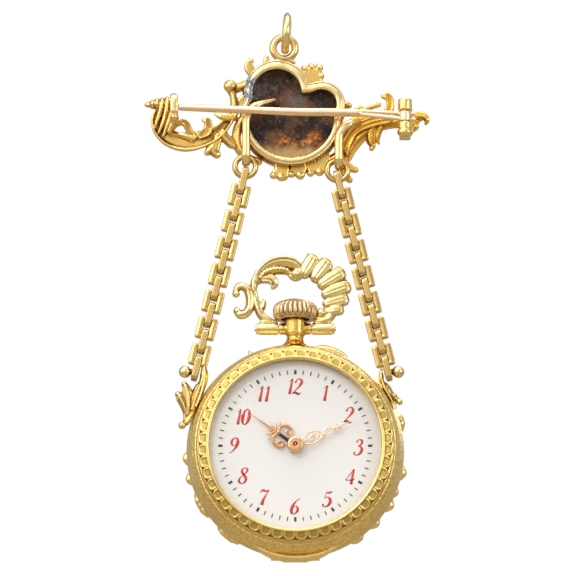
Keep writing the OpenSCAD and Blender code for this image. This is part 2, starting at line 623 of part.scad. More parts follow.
// The pin of a lug: a rod with a ball on its outer end
module lug_pin(side) color(scroll_gold) {
    outward = side == 0 ? -1 : 1;
    translate([lug_x[side] + outward * lug_ball_x, chain_y, pivot_z]) rotate([0, -outward * 90, 0])
        rotate_extrude() {
            intersection() {
                circle(lug_ball_r);
                translate([0, -1]) square(2);
            }
            square([lug_pin_r, lug_ball_x + lug_pin_end]);
        }
}

module lug_pin_left() lug_pin(0);
module lug_pin_right() lug_pin(1);

// Height of the back cover's dome at radius r
function dome_h(r) = cover_back + cover_dome_r - sqrt(cover_dome_r * cover_dome_r - r * r);

// Back cover: a shallow domed shell with its own hinge knuckle
module back_cover() color(case_gold) at_dial() {
    difference() {
        union() {
            translate([0, 0, cover_h - cover_rim]) cylinder(h = cover_rim, r = cover_r);
            intersection() {
                translate([0, 0, cover_back + cover_dome_r]) sphere(cover_dome_r, $fn = 200);
                translate([0, 0, cover_back - 1]) cylinder(h = 1.2 + cover_sag, r = cover_r);
            }
            translate([-1.6, -hinge_r - 0.36, cover_h - 0.6]) cube([3.2, 1.2, 0.6]);
        }
        intersection() {
            translate([0, 0, cover_back + cover_t + cover_dome_r]) sphere(cover_dome_r, $fn = 200);
            translate([0, 0, cover_back]) cylinder(h = 6, r = cover_r - cover_t);
        }
    }
    difference() {
        translate([-1.6, -hinge_r, hinge_h]) {
            rotate([0, 90, 0]) cylinder(h = 3.2, r = cover_knuckle_r);
            translate([0, -0.36, -0.7]) cube([3.2, 0.72, 0.7]);
        }
        translate([-3, -hinge_r, hinge_h]) rotate([0, 90, 0]) cylinder(h = 6, r = cover_rivet_r + fit);
    }
}

// The applied scroll border of the back: angle clockwise from twelve, reach beyond the middle
module back_border() color(scroll_gold) at_dial() difference() {
    border_form();
    rotate_extrude($fn = 72) translate([0, -seat_gap])
        polygon([[0, cover_h], for (r = [10 : 1 : 14]) [r, dome_h(r)],
                 [cover_r + seat_gap, dome_h(cover_r)], [cover_r + seat_gap, cover_h]]);
}

module border_form() {
    leaves = [[-24, 15.4], [94, 14.6], [71, 14.9], [101, 14.9], [107, 14.7], [117, 14.8],
              [127, 14.9], [142, 15.1], [-94, 14.75], [-104, 15.1], [-115, 15.2], [-125, 15.1],
              [-137, 15.3], [-147, 15.2], [24, 14.2], [48, 14.3], [-48, 14.3], [-70, 14.3]];
    translate([0, 0, cover_h - 1.4]) rotate_extrude($fn = 48)
        translate([12.7, 0]) circle(0.5, $fn = 8);
    for (leaf = leaves) hull() {
        border_knot(leaf[0] + 3, 12.9, 0.5);
        border_knot(leaf[0], leaf[1] - 0.5, 0.5);
    }
}

module border_knot(a, r, size) rotate([0, 0, -a]) translate([0, r, cover_h - 1.3 - (14 - r) * 0.2])
    scale([1.2, 1, 1.3]) sphere(size, $fn = knot_sides);

brooch_mount();
hinge_barrel();
pin();
hang_ring();
chain_left();
chain_right();
watch_case();
bezel();
crystal();
dial();
hour_hand();
minute_hand();
crown();
bow();
bow_tubes();
lug_left();
lug_right();
lug_pin_left();
lug_pin_right();
back_cover();
back_border();
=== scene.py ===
# Chatelaine watch pin: brooch seen from its back, two chains and a lady's pendant watch.
# Shapes are worked out in millimetres and written to the meshes in metres.
import math
import bpy
import numpy as np
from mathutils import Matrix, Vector


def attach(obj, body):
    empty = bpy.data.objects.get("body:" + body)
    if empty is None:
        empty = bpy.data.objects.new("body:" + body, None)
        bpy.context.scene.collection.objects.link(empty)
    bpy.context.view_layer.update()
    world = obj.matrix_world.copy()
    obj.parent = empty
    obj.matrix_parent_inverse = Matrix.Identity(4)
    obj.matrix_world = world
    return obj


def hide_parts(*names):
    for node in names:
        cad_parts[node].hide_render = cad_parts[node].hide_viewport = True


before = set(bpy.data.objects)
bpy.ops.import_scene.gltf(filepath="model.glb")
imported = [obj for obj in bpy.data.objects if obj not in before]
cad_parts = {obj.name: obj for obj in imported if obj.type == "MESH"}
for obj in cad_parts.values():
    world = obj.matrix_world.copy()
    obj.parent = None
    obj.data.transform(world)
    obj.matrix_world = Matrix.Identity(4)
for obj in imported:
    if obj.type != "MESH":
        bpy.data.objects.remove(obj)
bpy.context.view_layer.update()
mm = 0.001
print("scene: frame loaded")

# Tools for surfaces


def unit(v):
    # each row divided by its length
    return v / np.maximum(np.linalg.norm(v, axis=-1, keepdims=True), 1e-9)


def spline(rows, steps=8, closed=False):
    # Catmull-Rom curve through the rows: every column is blended with the same cubic weights
    p = np.asarray(rows, float)
    if closed:
        q = np.concatenate([p[-1:], p, p[:2]])
    else:
        q = np.concatenate([2 * p[:1] - p[1:2], p, 2 * p[-1:] - p[-2:-1]])
    t = np.linspace(0, 1, steps, endpoint=False)[None, :, None]
    a, b, c, d = (q[i:len(q) - 3 + i, None, :] for i in range(4))
    s = 0.5 * (2 * b + (c - a) * t + (2 * a - 5 * b + 4 * c - d) * t ** 2 + (3 * b - a - 3 * c + d) * t ** 3)
    s = s.reshape(-1, p.shape[1])
    return s if closed else np.concatenate([s, p[-1:]])


def gridFaces(rows, cols, wrapRows=False, wrapCols=True):
    # quads between neighbours of a rows by cols grid of points
    r = np.arange(rows if wrapRows else rows - 1)[:, None]
    c = np.arange(cols if wrapCols else cols - 1)[None, :]
    r2, c2 = (r + 1) % rows, (c + 1) % cols
    return np.stack([r * cols + c, r * cols + c2, r2 * cols + c2, r2 * cols + c], -1).reshape(-1, 4)


def turnedOut(verts, quads, tris):
    # a closed shell whose signed volume is negative has its faces turned round
    soup = np.concatenate([quads[:, [0, 1, 2]], quads[:, [0, 2, 3]], tris])
    p = verts[soup] - verts.mean(0)
    if np.einsum("ij,ij->i", p[:, 0], np.cross(p[:, 1], p[:, 2])).sum() < 0:
        return verts, quads[:, ::-1], tris[:, ::-1]
    return verts, quads, tris


def shellFromGrid(grid, loop=False):
    # closed shell from rings of points: a ring of rings, or one with a pole at each end
    rows, cols = grid.shape[:2]
    verts = grid.reshape(-1, 3)
    quads = gridFaces(rows, cols, wrapRows=loop)
    if loop:
        return turnedOut(verts, quads, np.zeros((0, 3), int))
    c = np.arange(cols)
    c2 = (c + 1) % cols
    first, last = rows * cols, rows * cols + 1
    verts = np.concatenate([verts, grid[:1].mean(1), grid[-1:].mean(1)])
    near = np.stack([c2, c, np.full(cols, first)], -1)
    far = np.stack([c, c2, np.full(cols, 0)], -1) + (rows - 1) * cols
    far[:, 2] = last
    tris = np.concatenate([near, far])
    return turnedOut(verts, quads, tris)


def joined(shells):
    # several shells as one list of points and faces
    start = np.cumsum([0] + [len(s[0]) for s in shells[:-1]])
    return (np.concatenate([s[0] for s in shells]),
            np.concatenate([s[1] + k for s, k in zip(shells, start)]),
            np.concatenate([s[2] + k for s, k in zip(shells, start)]))


def moved(shell, offset=(0, 0, 0), turn=None):
    # shell turned by a 3 by 3 matrix, then shifted
    v = shell[0] if turn is None else shell[0] @ turn.T
    return v + np.asarray(offset), shell[1], shell[2]


def layAlongX(shell, x, y, z):
    # a turned piece laid down at x, y, z, so that its own Z runs along X
    v, q, t = shell
    return np.stack([v[:, 2] + x, v[:, 1] + y, v[:, 0] + z], -1), q[:, ::-1], t[:, ::-1]


def runLength(points):
    # length along a line of points, from 0 at the first
    return np.concatenate([[0], np.cumsum(np.linalg.norm(np.diff(points, axis=0), axis=1))])


def turnMatrix(axis, degrees):
    # rotation about an axis, from the sine and cosine of the angle
    x, y, z = unit(np.asarray(axis, float))
    c, s = math.cos(math.radians(degrees)), math.sin(math.radians(degrees))
    k = np.array([[0, -z, y], [z, 0, -x], [-y, x, 0]])
    return np.eye(3) * c + s * k + (1 - c) * np.outer([x, y, z], [x, y, z])


def blurred(field, edges, rounds):
    # each value becomes the mean of its neighbours', rounds times over
    n = len(field)
    a = np.concatenate([edges[:, 0], edges[:, 1]])
    b = np.concatenate([edges[:, 1], edges[:, 0]])
    count = np.maximum(np.bincount(a, minlength=n), 1)[:, None]
    for _ in range(rounds):
        field = np.stack([np.bincount(a, field[b, k], n) for k in range(field.shape[1])], -1) / count
    return field


def faceEdges(quads, tris):
    # every side of every face as a pair of point numbers
    sides = [quads[:, [i, (i + 1) % 4]] for i in range(4)] + [tris[:, [i, (i + 1) % 3]] for i in range(3)]
    return np.unique(np.sort(np.concatenate(sides), axis=1), axis=0)


def fused(shells, voxel, rounds=3):
    # overlapping closed shells become one skin by voxel remesh, then are eased without shrinking
    v, q, t = joined(shells)
    mesh = bpy.data.meshes.new("fusing")
    mesh.from_pydata(v, [], q.tolist() + t.tolist())
    obj = bpy.data.objects.new("fusing", mesh)
    bpy.context.scene.collection.objects.link(obj)
    mod = obj.modifiers.new("remesh", "REMESH")
    mod.mode = "VOXEL"
    mod.voxel_size = voxel
    result = obj.evaluated_get(bpy.context.evaluated_depsgraph_get()).to_mesh()
    verts = np.empty(len(result.vertices) * 3)
    result.vertices.foreach_get("co", verts)
    verts = verts.reshape(-1, 3)
    loops = np.empty(len(result.loops), int)
    result.loops.foreach_get("vertex_index", loops)
    starts = np.empty(len(result.polygons), int)
    sizes = np.empty(len(result.polygons), int)
    result.polygons.foreach_get("loop_start", starts)
    result.polygons.foreach_get("loop_total", sizes)
    four, three = starts[sizes == 4], starts[sizes == 3]
    quads = loops[four[:, None] + np.arange(4)]
    tris = loops[three[:, None] + np.arange(3)]
    bpy.data.objects.remove(obj)
    edges = faceEdges(quads, tris)
    for _ in range(rounds):
        verts = verts + 0.6 * (blurred(verts, edges, 1) - verts)
        verts = verts - 0.35 * (blurred(verts, edges, 1) - verts)
    return verts, quads, tris


def smoothNoise(points, scale, seed):
    # three octaves of sine waves in seeded directions, summed: a smooth field of about -1 to 1
    rng = np.random.default_rng(seed)
    total = np.zeros(len(points))
    for k in range(3):
        d = unit(rng.normal(size=(7, 3))) * (1.8 ** k) / scale * 2 * np.pi
        total += np.sin(points @ d.T + rng.uniform(0, 2 * np.pi, 7)).mean(1) * 1.6 / 1.6 ** k
    return total


print("scene: tools ready")

# Materials


def newGroup(name, inputs, outputs):
    # node group: inputs with their defaults, a tuple for a colour, and outputs with their kinds
    group = bpy.data.node_groups.new(name, "ShaderNodeTree")
    for key, value in inputs.items():
        kind = "NodeSocketColor" if isinstance(value, tuple) else "NodeSocketFloat"
        group.interface.new_socket(key, in_out="INPUT", socket_type=kind).default_value = value
    for key, kind in outputs.items():
        group.interface.new_socket(key, in_out="OUTPUT", socket_type=kind)
    return group, group.nodes.new("NodeGroupInput"), group.nodes.new("NodeGroupOutput")


def mathNode(tree, operation, a, b=0.0, clamp=False):
    # one maths node whose inputs are sockets or numbers
    node = tree.nodes.new("ShaderNodeMath")
    node.operation = operation
    node.use_clamp = clamp
    for slot, value in zip(node.inputs, (a, b)):
        if isinstance(value, (int, float)):
            slot.default_value = value
        else:
            tree.links.new(value, slot)
    return node.outputs[0]


def mixColour(tree, factor, a, b):
    # colour mix whose factor and colours are sockets or values
    node = tree.nodes.new("ShaderNodeMix")
    node.data_type = "RGBA"
    node.clamp_factor = True
    for slot, value in ((node.inputs[0], factor), (node.inputs[6], a), (node.inputs[7], b)):
        if hasattr(value, "is_output"):
            tree.links.new(value, slot)
        else:
            slot.default_value = value
    return node.outputs[2]


def rgba(colour):
    return tuple(colour) + (1,)


def objectCoords(tree):
    return tree.nodes.new("ShaderNodeTexCoord").outputs["Object"]


def noiseNode(tree, coords, scale, detail=3.0, rough=0.55):
    node = tree.nodes.new("ShaderNodeTexNoise")
    node.inputs["Scale"].default_value = scale
    node.inputs["Detail"].default_value = detail
    node.inputs["Roughness"].default_value = rough
    tree.links.new(coords, node.inputs["Vector"])
    return node.outputs["Fac"]


def ramp(tree, value, low, high):
    # 0 below low, 1 above high, smooth between
    node = tree.nodes.new("ShaderNodeMapRange")
    node.interpolation_type = "SMOOTHSTEP"
    node.inputs["From Min"].default_value = low
    node.inputs["From Max"].default_value = high
    tree.links.new(value, node.inputs["Value"])
    return node.outputs["Result"]


def shadedGoldGroup():
    # colour and roughness of the gold: painted shade darkens the hollows, edges are paler, and it is mottled
    # all over
    g, gin, gout = newGroup("shadedAgedGold", {
        "Gold": (0.8, 0.6, 0.3, 1), "Hollow": (0.2, 0.1, 0.02, 1), "Edge": (1, 0.9, 0.6, 1),
        "Cavity": 0.5, "HollowShade": 1.0, "EdgeAmount": 0.6, "Mottle": 0.3, "Rough": 0.25},
        {"Color": "NodeSocketColor", "Roughness": "NodeSocketFloat", "Grain": "NodeSocketFloat"})
    coords = objectCoords(g)
    blotch = noiseNode(g, coords, 420.0, 4.0, 0.6)      # patches of about 2 mm
    fine = noiseNode(g, coords, 2600.0, 3.0, 0.6)       # grain of about 0.4 mm
    i = gin.outputs
    # painted shade: the Hollow colour laid into the concave places
    hollow = mathNode(g, "MULTIPLY", ramp(g, i["Cavity"], 0.54, 0.82), i["HollowShade"], clamp=True)
    edge = mathNode(g, "MULTIPLY", ramp(g, mathNode(g, "SUBTRACT", 1.0, i["Cavity"]), 0.60, 0.92),
                    i["EdgeAmount"], clamp=True)
    mottle = mathNode(g, "MULTIPLY", ramp(g, blotch, 0.42, 0.72), i["Mottle"], clamp=True)
    c = mixColour(g, mottle, i["Gold"], i["Hollow"])
    c = mixColour(g, hollow, c, i["Hollow"])
    c = mixColour(g, edge, c, i["Edge"])
    rough = mathNode(g, "ADD", i["Rough"], mathNode(g, "MULTIPLY", hollow, 0.22))
    rough = mathNode(g, "ADD", rough, mathNode(g, "MULTIPLY", mathNode(g, "SUBTRACT", fine, 0.5), 0.22))
    g.links.new(c, gout.inputs["Color"])
    g.links.new(mathNode(g, "MAXIMUM", rough, 0.06), gout.inputs["Roughness"])
    g.links.new(fine, gout.inputs["Grain"])
    return g


def stippleGroup():
    # small dents set close together, as a punch or shot leaves them
    g, gin, gout = newGroup("stipple", {"Scale": 3000.0}, {"Height": "NodeSocketFloat"})
    coords = objectCoords(g)
    cells = g.nodes.new("ShaderNodeTexVoronoi")
    cells.feature = "SMOOTH_F1"
    g.links.new(coords, cells.inputs["Vector"])
    g.links.new(gin.outputs["Scale"], cells.inputs["Scale"])
    g.links.new(cells.outputs["Distance"], gout.inputs["Height"])
    return g


shadedAgedGold = shadedGoldGroup()
stipple = stippleGroup()


def principled(name):
    mat = bpy.data.materials.new(name)
    mat.use_nodes = True
    return mat, mat.node_tree, mat.node_tree.nodes["Principled BSDF"]


def attributeNode(tree, name):
    node = tree.nodes.new("ShaderNodeAttribute")
    node.attribute_name = name
    return node.outputs["Fac"]


def bumpNode(tree, height, distance, strength):
    node = tree.nodes.new("ShaderNodeBump")
    node.inputs["Distance"].default_value = distance
    node.inputs["Strength"].default_value = strength
    tree.links.new(height, node.inputs["Height"])
    return node.outputs["Normal"]


def shadedGoldNode(tree, look):
    # the gold group, with its painted shade in hollows, set to the colours and amounts of a look
    node = tree.nodes.new("ShaderNodeGroup")
    node.node_tree = shadedAgedGold
    tree.links.new(attributeNode(tree, "cavity"), node.inputs["Cavity"])
    for key in ("gold", "hollow", "edge"):
        node.inputs[key.capitalize()].default_value = rgba(look[key])
    for key in ("HollowShade", "EdgeAmount", "Mottle", "Rough"):
        node.inputs[key].default_value = look[key]
    return node


def goldMaterial(name, look):
    # gold with painted shade in its hollows and cast or polished grain; look["stipple"] adds the punched
    # dents
    mat, tree, shader = principled(name)
    node = shadedGoldNode(tree, look)
    colour, height = node.outputs["Color"], node.outputs["Grain"]
    if look.get("stipple"):
        dents = tree.nodes.new("ShaderNodeGroup")
        dents.node_tree = stipple
        dents.inputs["Scale"].default_value = look["stipple"]
        height = mathNode(tree, "ADD", dents.outputs["Height"], mathNode(tree, "MULTIPLY", height, 0.4))
        pits = mathNode(tree, "MULTIPLY", ramp(tree, dents.outputs["Height"], 0.30, 0.62), 0.30)
        colour = mixColour(tree, pits, colour, rgba(look["hollow"]))
    tree.links.new(colour, shader.inputs["Base Color"])
    tree.links.new(node.outputs["Roughness"], shader.inputs["Roughness"])
    shader.inputs["Metallic"].default_value = 1.0
    tree.links.new(bumpNode(tree, height, look["bump"] * mm, look.get("bumpStrength", 0.6)),
                   shader.inputs["Normal"])
    return mat


# in each look, hollow is the colour of the painted shade in concave places
goldLooks = {
    "castGold": dict(gold=(0.75, 0.49, 0.14), hollow=(0.20, 0.085, 0.015), edge=(1.0, 0.80, 0.38),
                     HollowShade=1.0, EdgeAmount=0.7, Mottle=0.2, Rough=0.24, bump=0.02),
    "amberGold": dict(gold=(0.72, 0.40, 0.065), hollow=(0.26, 0.095, 0.012), edge=(0.98, 0.68, 0.20),
                      HollowShade=1.0, EdgeAmount=0.6, Mottle=0.25, Rough=0.26, bump=0.025),
    "paleGold": dict(gold=(0.73, 0.52, 0.25), hollow=(0.24, 0.13, 0.04), edge=(1.0, 0.80, 0.40),
                     HollowShade=0.9, EdgeAmount=0.6, Mottle=0.18, Rough=0.22, bump=0.012),
    "bowGold": dict(gold=(0.78, 0.60, 0.26), hollow=(0.30, 0.18, 0.045), edge=(1.0, 0.90, 0.58),
                    HollowShade=1.0, EdgeAmount=0.75, Mottle=0.12, Rough=0.24, bump=0.014),
    "chainGold": dict(gold=(0.66, 0.46, 0.165), hollow=(0.16, 0.08, 0.015), edge=(1.0, 0.84, 0.50),
                      HollowShade=1.0, EdgeAmount=0.55, Mottle=0.15, Rough=0.25, bump=0.01),
    "satinCase": dict(gold=(0.96, 0.66, 0.17), hollow=(0.38, 0.21, 0.03), edge=(1.0, 0.86, 0.42),
                      HollowShade=0.9, EdgeAmount=0.5, Mottle=0.15, Rough=0.34, bump=0.09,
                      stipple=2900.0, bumpStrength=1.0),
    "polishedCase": dict(gold=(0.88, 0.62, 0.21), hollow=(0.26, 0.15, 0.03), edge=(1.0, 0.84, 0.44),
                         HollowShade=0.9, EdgeAmount=0.6, Mottle=0.12, Rough=0.17, bump=0.008),
    "warmCase": dict(gold=(0.76, 0.50, 0.13), hollow=(0.24, 0.12, 0.02), edge=(1.0, 0.78, 0.34),
                     HollowShade=0.9, EdgeAmount=0.55, Mottle=0.14, Rough=0.19, bump=0.008),
    "roseGold": dict(gold=(0.98, 0.72, 0.48), hollow=(0.40, 0.22, 0.11), edge=(1.0, 0.88, 0.70),
                     HollowShade=0.9, EdgeAmount=0.6, Mottle=0.12, Rough=0.26, bump=0.008),
    "crownGold": dict(gold=(0.52, 0.36, 0.18), hollow=(0.18, 0.09, 0.04), edge=(0.96, 0.76, 0.50),
                      HollowShade=1.0, EdgeAmount=0.5, Mottle=0.14, Rough=0.26, bump=0.008),
    "handGold": dict(gold=(0.90, 0.58, 0.36), hollow=(0.36, 0.17, 0.09), edge=(1.0, 0.80, 0.60),
                     HollowShade=0.9, EdgeAmount=0.5, Mottle=0.12, Rough=0.26, bump=0.006),
    "lugGold": dict(gold=(0.56, 0.39, 0.12), hollow=(0.18, 0.085, 0.015), edge=(1.0, 0.84, 0.44),
                    HollowShade=1.0, EdgeAmount=0.7, Mottle=0.18, Rough=0.23, bump=0.014),
    "copperGold": dict(gold=(0.66, 0.32, 0.15), hollow=(0.22, 0.085, 0.045), edge=(1.0, 0.72, 0.46),
                       HollowShade=0.9, EdgeAmount=0.6, Mottle=0.15, Rough=0.24, bump=0.006),
}
onlyTinted = ("chainGold", "copperGold")      # looks that tintedGold alone puts on a piece
gold = {name: goldMaterial(name, look) for name, look in goldLooks.items() if name not in onlyTinted}


def tintedGold(name, look, attribute, tint, extra=0.0, **changes):
    # a gold whose colour turns to a tint, and grows rougher, where its attribute rises
    mat = goldMaterial(name, dict(goldLooks[look], **changes))
    tree = mat.node_tree
    shader = tree.nodes["Principled BSDF"]
    mask = attributeNode(tree, attribute)
    old = shader.inputs["Base Color"].links[0].from_socket
    tree.links.new(mixColour(tree, mask, old, tint), shader.inputs["Base Color"])
    old = shader.inputs["Roughness"].links[0].from_socket
    tree.links.new(mathNode(tree, "ADD", old, mathNode(tree, "MULTIPLY", mask, extra)),
                   shader.inputs["Roughness"])
    return mat


# colours of the cup's tarnish, rust and solder, and of a blue-grey painted reflection on the tarnish
cupSoilAndReflection = dict(
    soot=((0.015, 0.011, 0.012), (0.15, 0.066, 0.03)), speck=(0.36, 0.19, 0.075),
    paintedReflection=(0.17, 0.16, 0.18), rust=((0.26, 0.07, 0.018), (0.70, 0.29, 0.06)), tan=(0.56, 0.37, 0.14),
    solder=((0.09, 0.09, 0.10), (0.30, 0.29, 0.29)), paintedReflectionAmount=0.55, addedRough=0.42, lostShine=0.75)


def cupMaterial():
    # pale gold whose recess is tarnished brown and black with painted blue-grey reflection patches, rust low
    # down and grey solder at the left
    mat, tree, shader = principled("settingCup")
    s = cupSoilAndReflection
    look = dict(goldLooks["paleGold"], HollowShade=1.0, EdgeAmount=0.6, Mottle=0.25, Rough=0.27)
    node = shadedGoldNode(tree, look)
    coords = objectCoords(tree)
    broad = noiseNode(tree, coords, 420.0, 5.0, 0.62)
    fine = noiseNode(tree, coords, 2100.0, 4.0, 0.6)
    patch = noiseNode(tree, coords, 300.0, 4.0, 0.65)
    soot = mixColour(tree, ramp(tree, broad, 0.38, 0.66), *map(rgba, s["soot"]))
    soot = mixColour(tree, ramp(tree, fine, 0.56, 0.75), soot, rgba(s["speck"]))
    # painted reflection: blue-grey patches mixed into the tarnish
    paintedReflection = mathNode(tree, "MULTIPLY", ramp(tree, patch, 0.52, 0.68), s["paintedReflectionAmount"])
    soot = mixColour(tree, paintedReflection, soot, rgba(s["paintedReflection"]))
    rust = mixColour(tree, ramp(tree, fine, 0.40, 0.62), *map(rgba, s["rust"]))
    rustMask = mathNode(tree, "MULTIPLY", attributeNode(tree, "rust"), ramp(tree, broad, 0.30, 0.55))
    dark = mixColour(tree, rustMask, soot, rust)
    dark = mixColour(tree, attributeNode(tree, "tan"), dark, rgba(s["tan"]))
    solder = mixColour(tree, ramp(tree, fine, 0.40, 0.60), *map(rgba, s["solder"]))
    soiled = attributeNode(tree, "soiled")
    lead = mathNode(tree, "MULTIPLY", attributeNode(tree, "solder"), ramp(tree, broad, 0.34, 0.5))
    colour = mixColour(tree, soiled, node.outputs["Color"], dark)
    tree.links.new(mixColour(tree, lead, colour, solder), shader.inputs["Base Color"])
    rough = mathNode(tree, "MULTIPLY", soiled, s["addedRough"])
    tree.links.new(mathNode(tree, "ADD", node.outputs["Roughness"], rough), shader.inputs["Roughness"])
    dull = mathNode(tree, "MULTIPLY", soiled, s["lostShine"])
    tree.links.new(mathNode(tree, "SUBTRACT", 1.0, dull), shader.inputs["Metallic"])
    height = mathNode(tree, "ADD", node.outputs["Grain"], mathNode(tree, "MULTIPLY", fine, soiled))
    tree.links.new(bumpNode(tree, height, 0.03 * mm, 0.6), shader.inputs["Normal"])
    return mat


def enamelMaterial():
    # white enamel, faintly mottled under its glaze
    mat, tree, shader = principled("dialEnamel")
    coords = objectCoords(tree)
    cloud = noiseNode(tree, coords, 160.0, 3.0, 0.5)
    tree.links.new(mixColour(tree, cloud, (0.745, 0.745, 0.755, 1), (0.79, 0.785, 0.785, 1)),
                   shader.inputs["Base Color"])
    ripple = noiseNode(tree, coords, 300.0, 2.0, 0.5)
    tree.links.new(mathNode(tree, "ADD", 0.18, mathNode(tree, "MULTIPLY", ripple, 0.08)),
                   shader.inputs["Roughness"])
    tree.links.new(bumpNode(tree, ripple, 0.01 * mm, 0.15), shader.inputs["Normal"])
    return mat


def paintMaterial(name, top, bottom, attribute):
    # fired paint that darkens where its attribute rises
    mat, tree, shader = principled(name)
    coords = objectCoords(tree)
    speck = noiseNode(tree, coords, 3500.0, 2.0, 0.5)
    colour = mixColour(tree, attributeNode(tree, attribute), top, bottom)
    colour = mixColour(tree, mathNode(tree, "MULTIPLY", ramp(tree, speck, 0.45, 0.7), 0.25), colour,
                       (top[0] * 1.1 + 0.05, top[1] + 0.06, top[2] + 0.05, 1))
    tree.links.new(colour, shader.inputs["Base Color"])
    tree.links.new(mathNode(tree, "ADD", 0.3, mathNode(tree, "MULTIPLY", speck, 0.1)),
                   shader.inputs["Roughness"])
    return mat


def glassMaterial():
    # thin clear crystal that lets light and shadow through
    mat, tree, shader = principled("crystalGlass")
    shader.inputs["Base Color"].default_value = (1, 1, 1, 1)
    shader.inputs["Transmission Weight"].default_value = 1.0
    shader.inputs["IOR"].default_value = 1.08
    coords = objectCoords(tree)
    tree.links.new(mathNode(tree, "MULTIPLY", noiseNode(tree, coords, 300.0), 0.02),
                   shader.inputs["Roughness"])
    clear = tree.nodes.new("ShaderNodeBsdfTransparent")
    path = tree.nodes.new("ShaderNodeLightPath")
    mix = tree.nodes.new("ShaderNodeMixShader")
    through = mathNode(tree, "MAXIMUM", path.outputs["Is Shadow Ray"], path.outputs["Is Diffuse Ray"])
    tree.links.new(through, mix.inputs[0])
    tree.links.new(shader.outputs[0], mix.inputs[1])
    tree.links.new(clear.outputs[0], mix.inputs[2])
    tree.links.new(mix.outputs[0], tree.nodes["Material Output"].inputs["Surface"])
    return mat


def floorMaterial():
    # pale to the eye; the jewel mirrors it as a dim table
    mat, tree, shader = principled("paleFloor")
    coords = objectCoords(tree)
    pale = mixColour(tree, noiseNode(tree, coords, 3.0), (0.84, 0.835, 0.82, 1), (0.88, 0.875, 0.86, 1))
    path = tree.nodes.new("ShaderNodeLightPath")
    tree.links.new(mixColour(tree, path.outputs["Is Camera Ray"], (0.40, 0.34, 0.25, 1), pale),
                   shader.inputs["Base Color"])
    shader.inputs["Roughness"].default_value = 0.6
    return mat


settingCup = cupMaterial()
dialEnamel = enamelMaterial()
redPaint = paintMaterial("redNumeralPaint", (0.54, 0.032, 0.024, 1), (0.26, 0.013, 0.012, 1), "low")
blackPaint = paintMaterial("blackTrackPaint", (0.03, 0.03, 0.03, 1), (0.012, 0.012, 0.012, 1), "low")
crystalGlass = glassMaterial()
print("scene: materials ready")

# Writing a piece


def cavityOf(verts, normals, edges, reach, rounds):
    # how far the blurred surface stands out along the normal: over 0.5 in hollows, under on ridges
    lift = np.einsum("ij,ij->i", blurred(verts, edges, rounds) - verts, normals)
    return np.clip(0.5 + blurred(lift[:, None], edges, 1)[:, 0] / reach * 0.5, 0, 1)


def writePiece(name, shell, material, body, stands, reach=0.06, rounds=10, extras=None, flat=False):
    # mesh in metres with its cavity attribute, riding a body and standing for CAD nodes
    verts, quads, tris = shell
    mesh = bpy.data.meshes.new(name)
    mesh.from_pydata(verts * mm, [], quads.tolist() + tris.tolist())
    mesh.update()
    if not flat:
        mesh.polygons.foreach_set("use_smooth", np.ones(len(mesh.polygons), bool))
    normals = np.empty(len(verts) * 3)
    mesh.vertices.foreach_get("normal", normals)
    edges = faceEdges(quads, tris)
    fields = {"cavity": cavityOf(verts, normals.reshape(-1, 3), edges, reach, rounds), **(extras or {})}
    for key, values in fields.items():
        mesh.attributes.new(key, "FLOAT", "POINT").data.foreach_set("value", np.asarray(values, np.float32))
    mesh.materials.append(material)
    obj = bpy.data.objects.new(name, mesh)
    bpy.context.scene.collection.objects.link(obj)
    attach(obj, body)
    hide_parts(*stands)
    print("piece", name, len(mesh.polygons), "faces")


# Forms that the pieces share


def smoothStep(x, low, high):
    t = np.clip((x - low) / (high - low), 0, 1)
    return t * t * (3 - 2 * t)


def roundForm(phi, s):
    # plain ellipse
    return np.cos(phi) + 0 * s, np.sin(phi) + 0 * s


def flutedForm(count, amount):
    # ellipse with flutes that run along the scroll
    def form(phi, s):
        r = 1 - amount * (0.5 + 0.5 * np.cos(count * phi)) + 0 * s
        return r * np.cos(phi), r * np.sin(phi)
    return form


def ribbedForm(count, amount, sharp):
    # ellipse with ridges across the scroll, as on a shell
    def form(phi, s):
        r = 1 - amount * (0.5 + 0.5 * np.cos(2 * np.pi * count * s)) ** sharp
        return r * np.cos(phi), r * np.sin(phi)
    return form


def boxy(phi, s, across, through):
    # ellipse squared up by raising each coordinate to a power under one
    c, d = np.cos(phi) + 0 * s, np.sin(phi) + 0 * s
    return np.sign(c) * np.abs(c) ** across, np.sign(d) * np.abs(d) ** through


def dishedForm(amount, edge=0.8):
    # boxy section whose front is hollow between two raised edges, and fills up towards the ends
    def form(phi, s):
        x, y = boxy(phi, s, 0.7, 0.6)
        hollow = 1 - smoothStep(np.abs(x), edge * 0.55, edge)
        fade = np.minimum(1, 4 * np.minimum(s, 1 - s) + 0.2)
        return x, y * (1 - amount * hollow * fade * (y < 0))
    return form


def veinedForm(count, amount, hollow):
    # boxy section whose faces are hollow across and carry fine veins along the leaf
    def form(phi, s):
        x, y = boxy(phi, s, 0.75, 0.65)
        return x, y * (1 - hollow * (1 - x * x) - amount * (0.5 + 0.5 * np.cos(np.pi * count * x)))
    return form


def roundedEnds(path, tangent, half):
    # four rings more at each end of an open path, on a quarter circle of the half width there, and how far
    # every ring's section shrinks
    a = np.radians([82, 62, 42, 22])
    start = path[:1] - tangent[:1] * (half[0] * np.sin(a))[:, None]
    end = path[-1:] + tangent[-1:] * (half[-1] * np.sin(a[::-1]))[:, None]
    cap = np.concatenate([np.cos(a), np.ones(len(half)), np.cos(a[::-1])])
    return np.concatenate([start, path, end]), np.pad(tangent, ((4, 4), (0, 0)), "edge"), cap


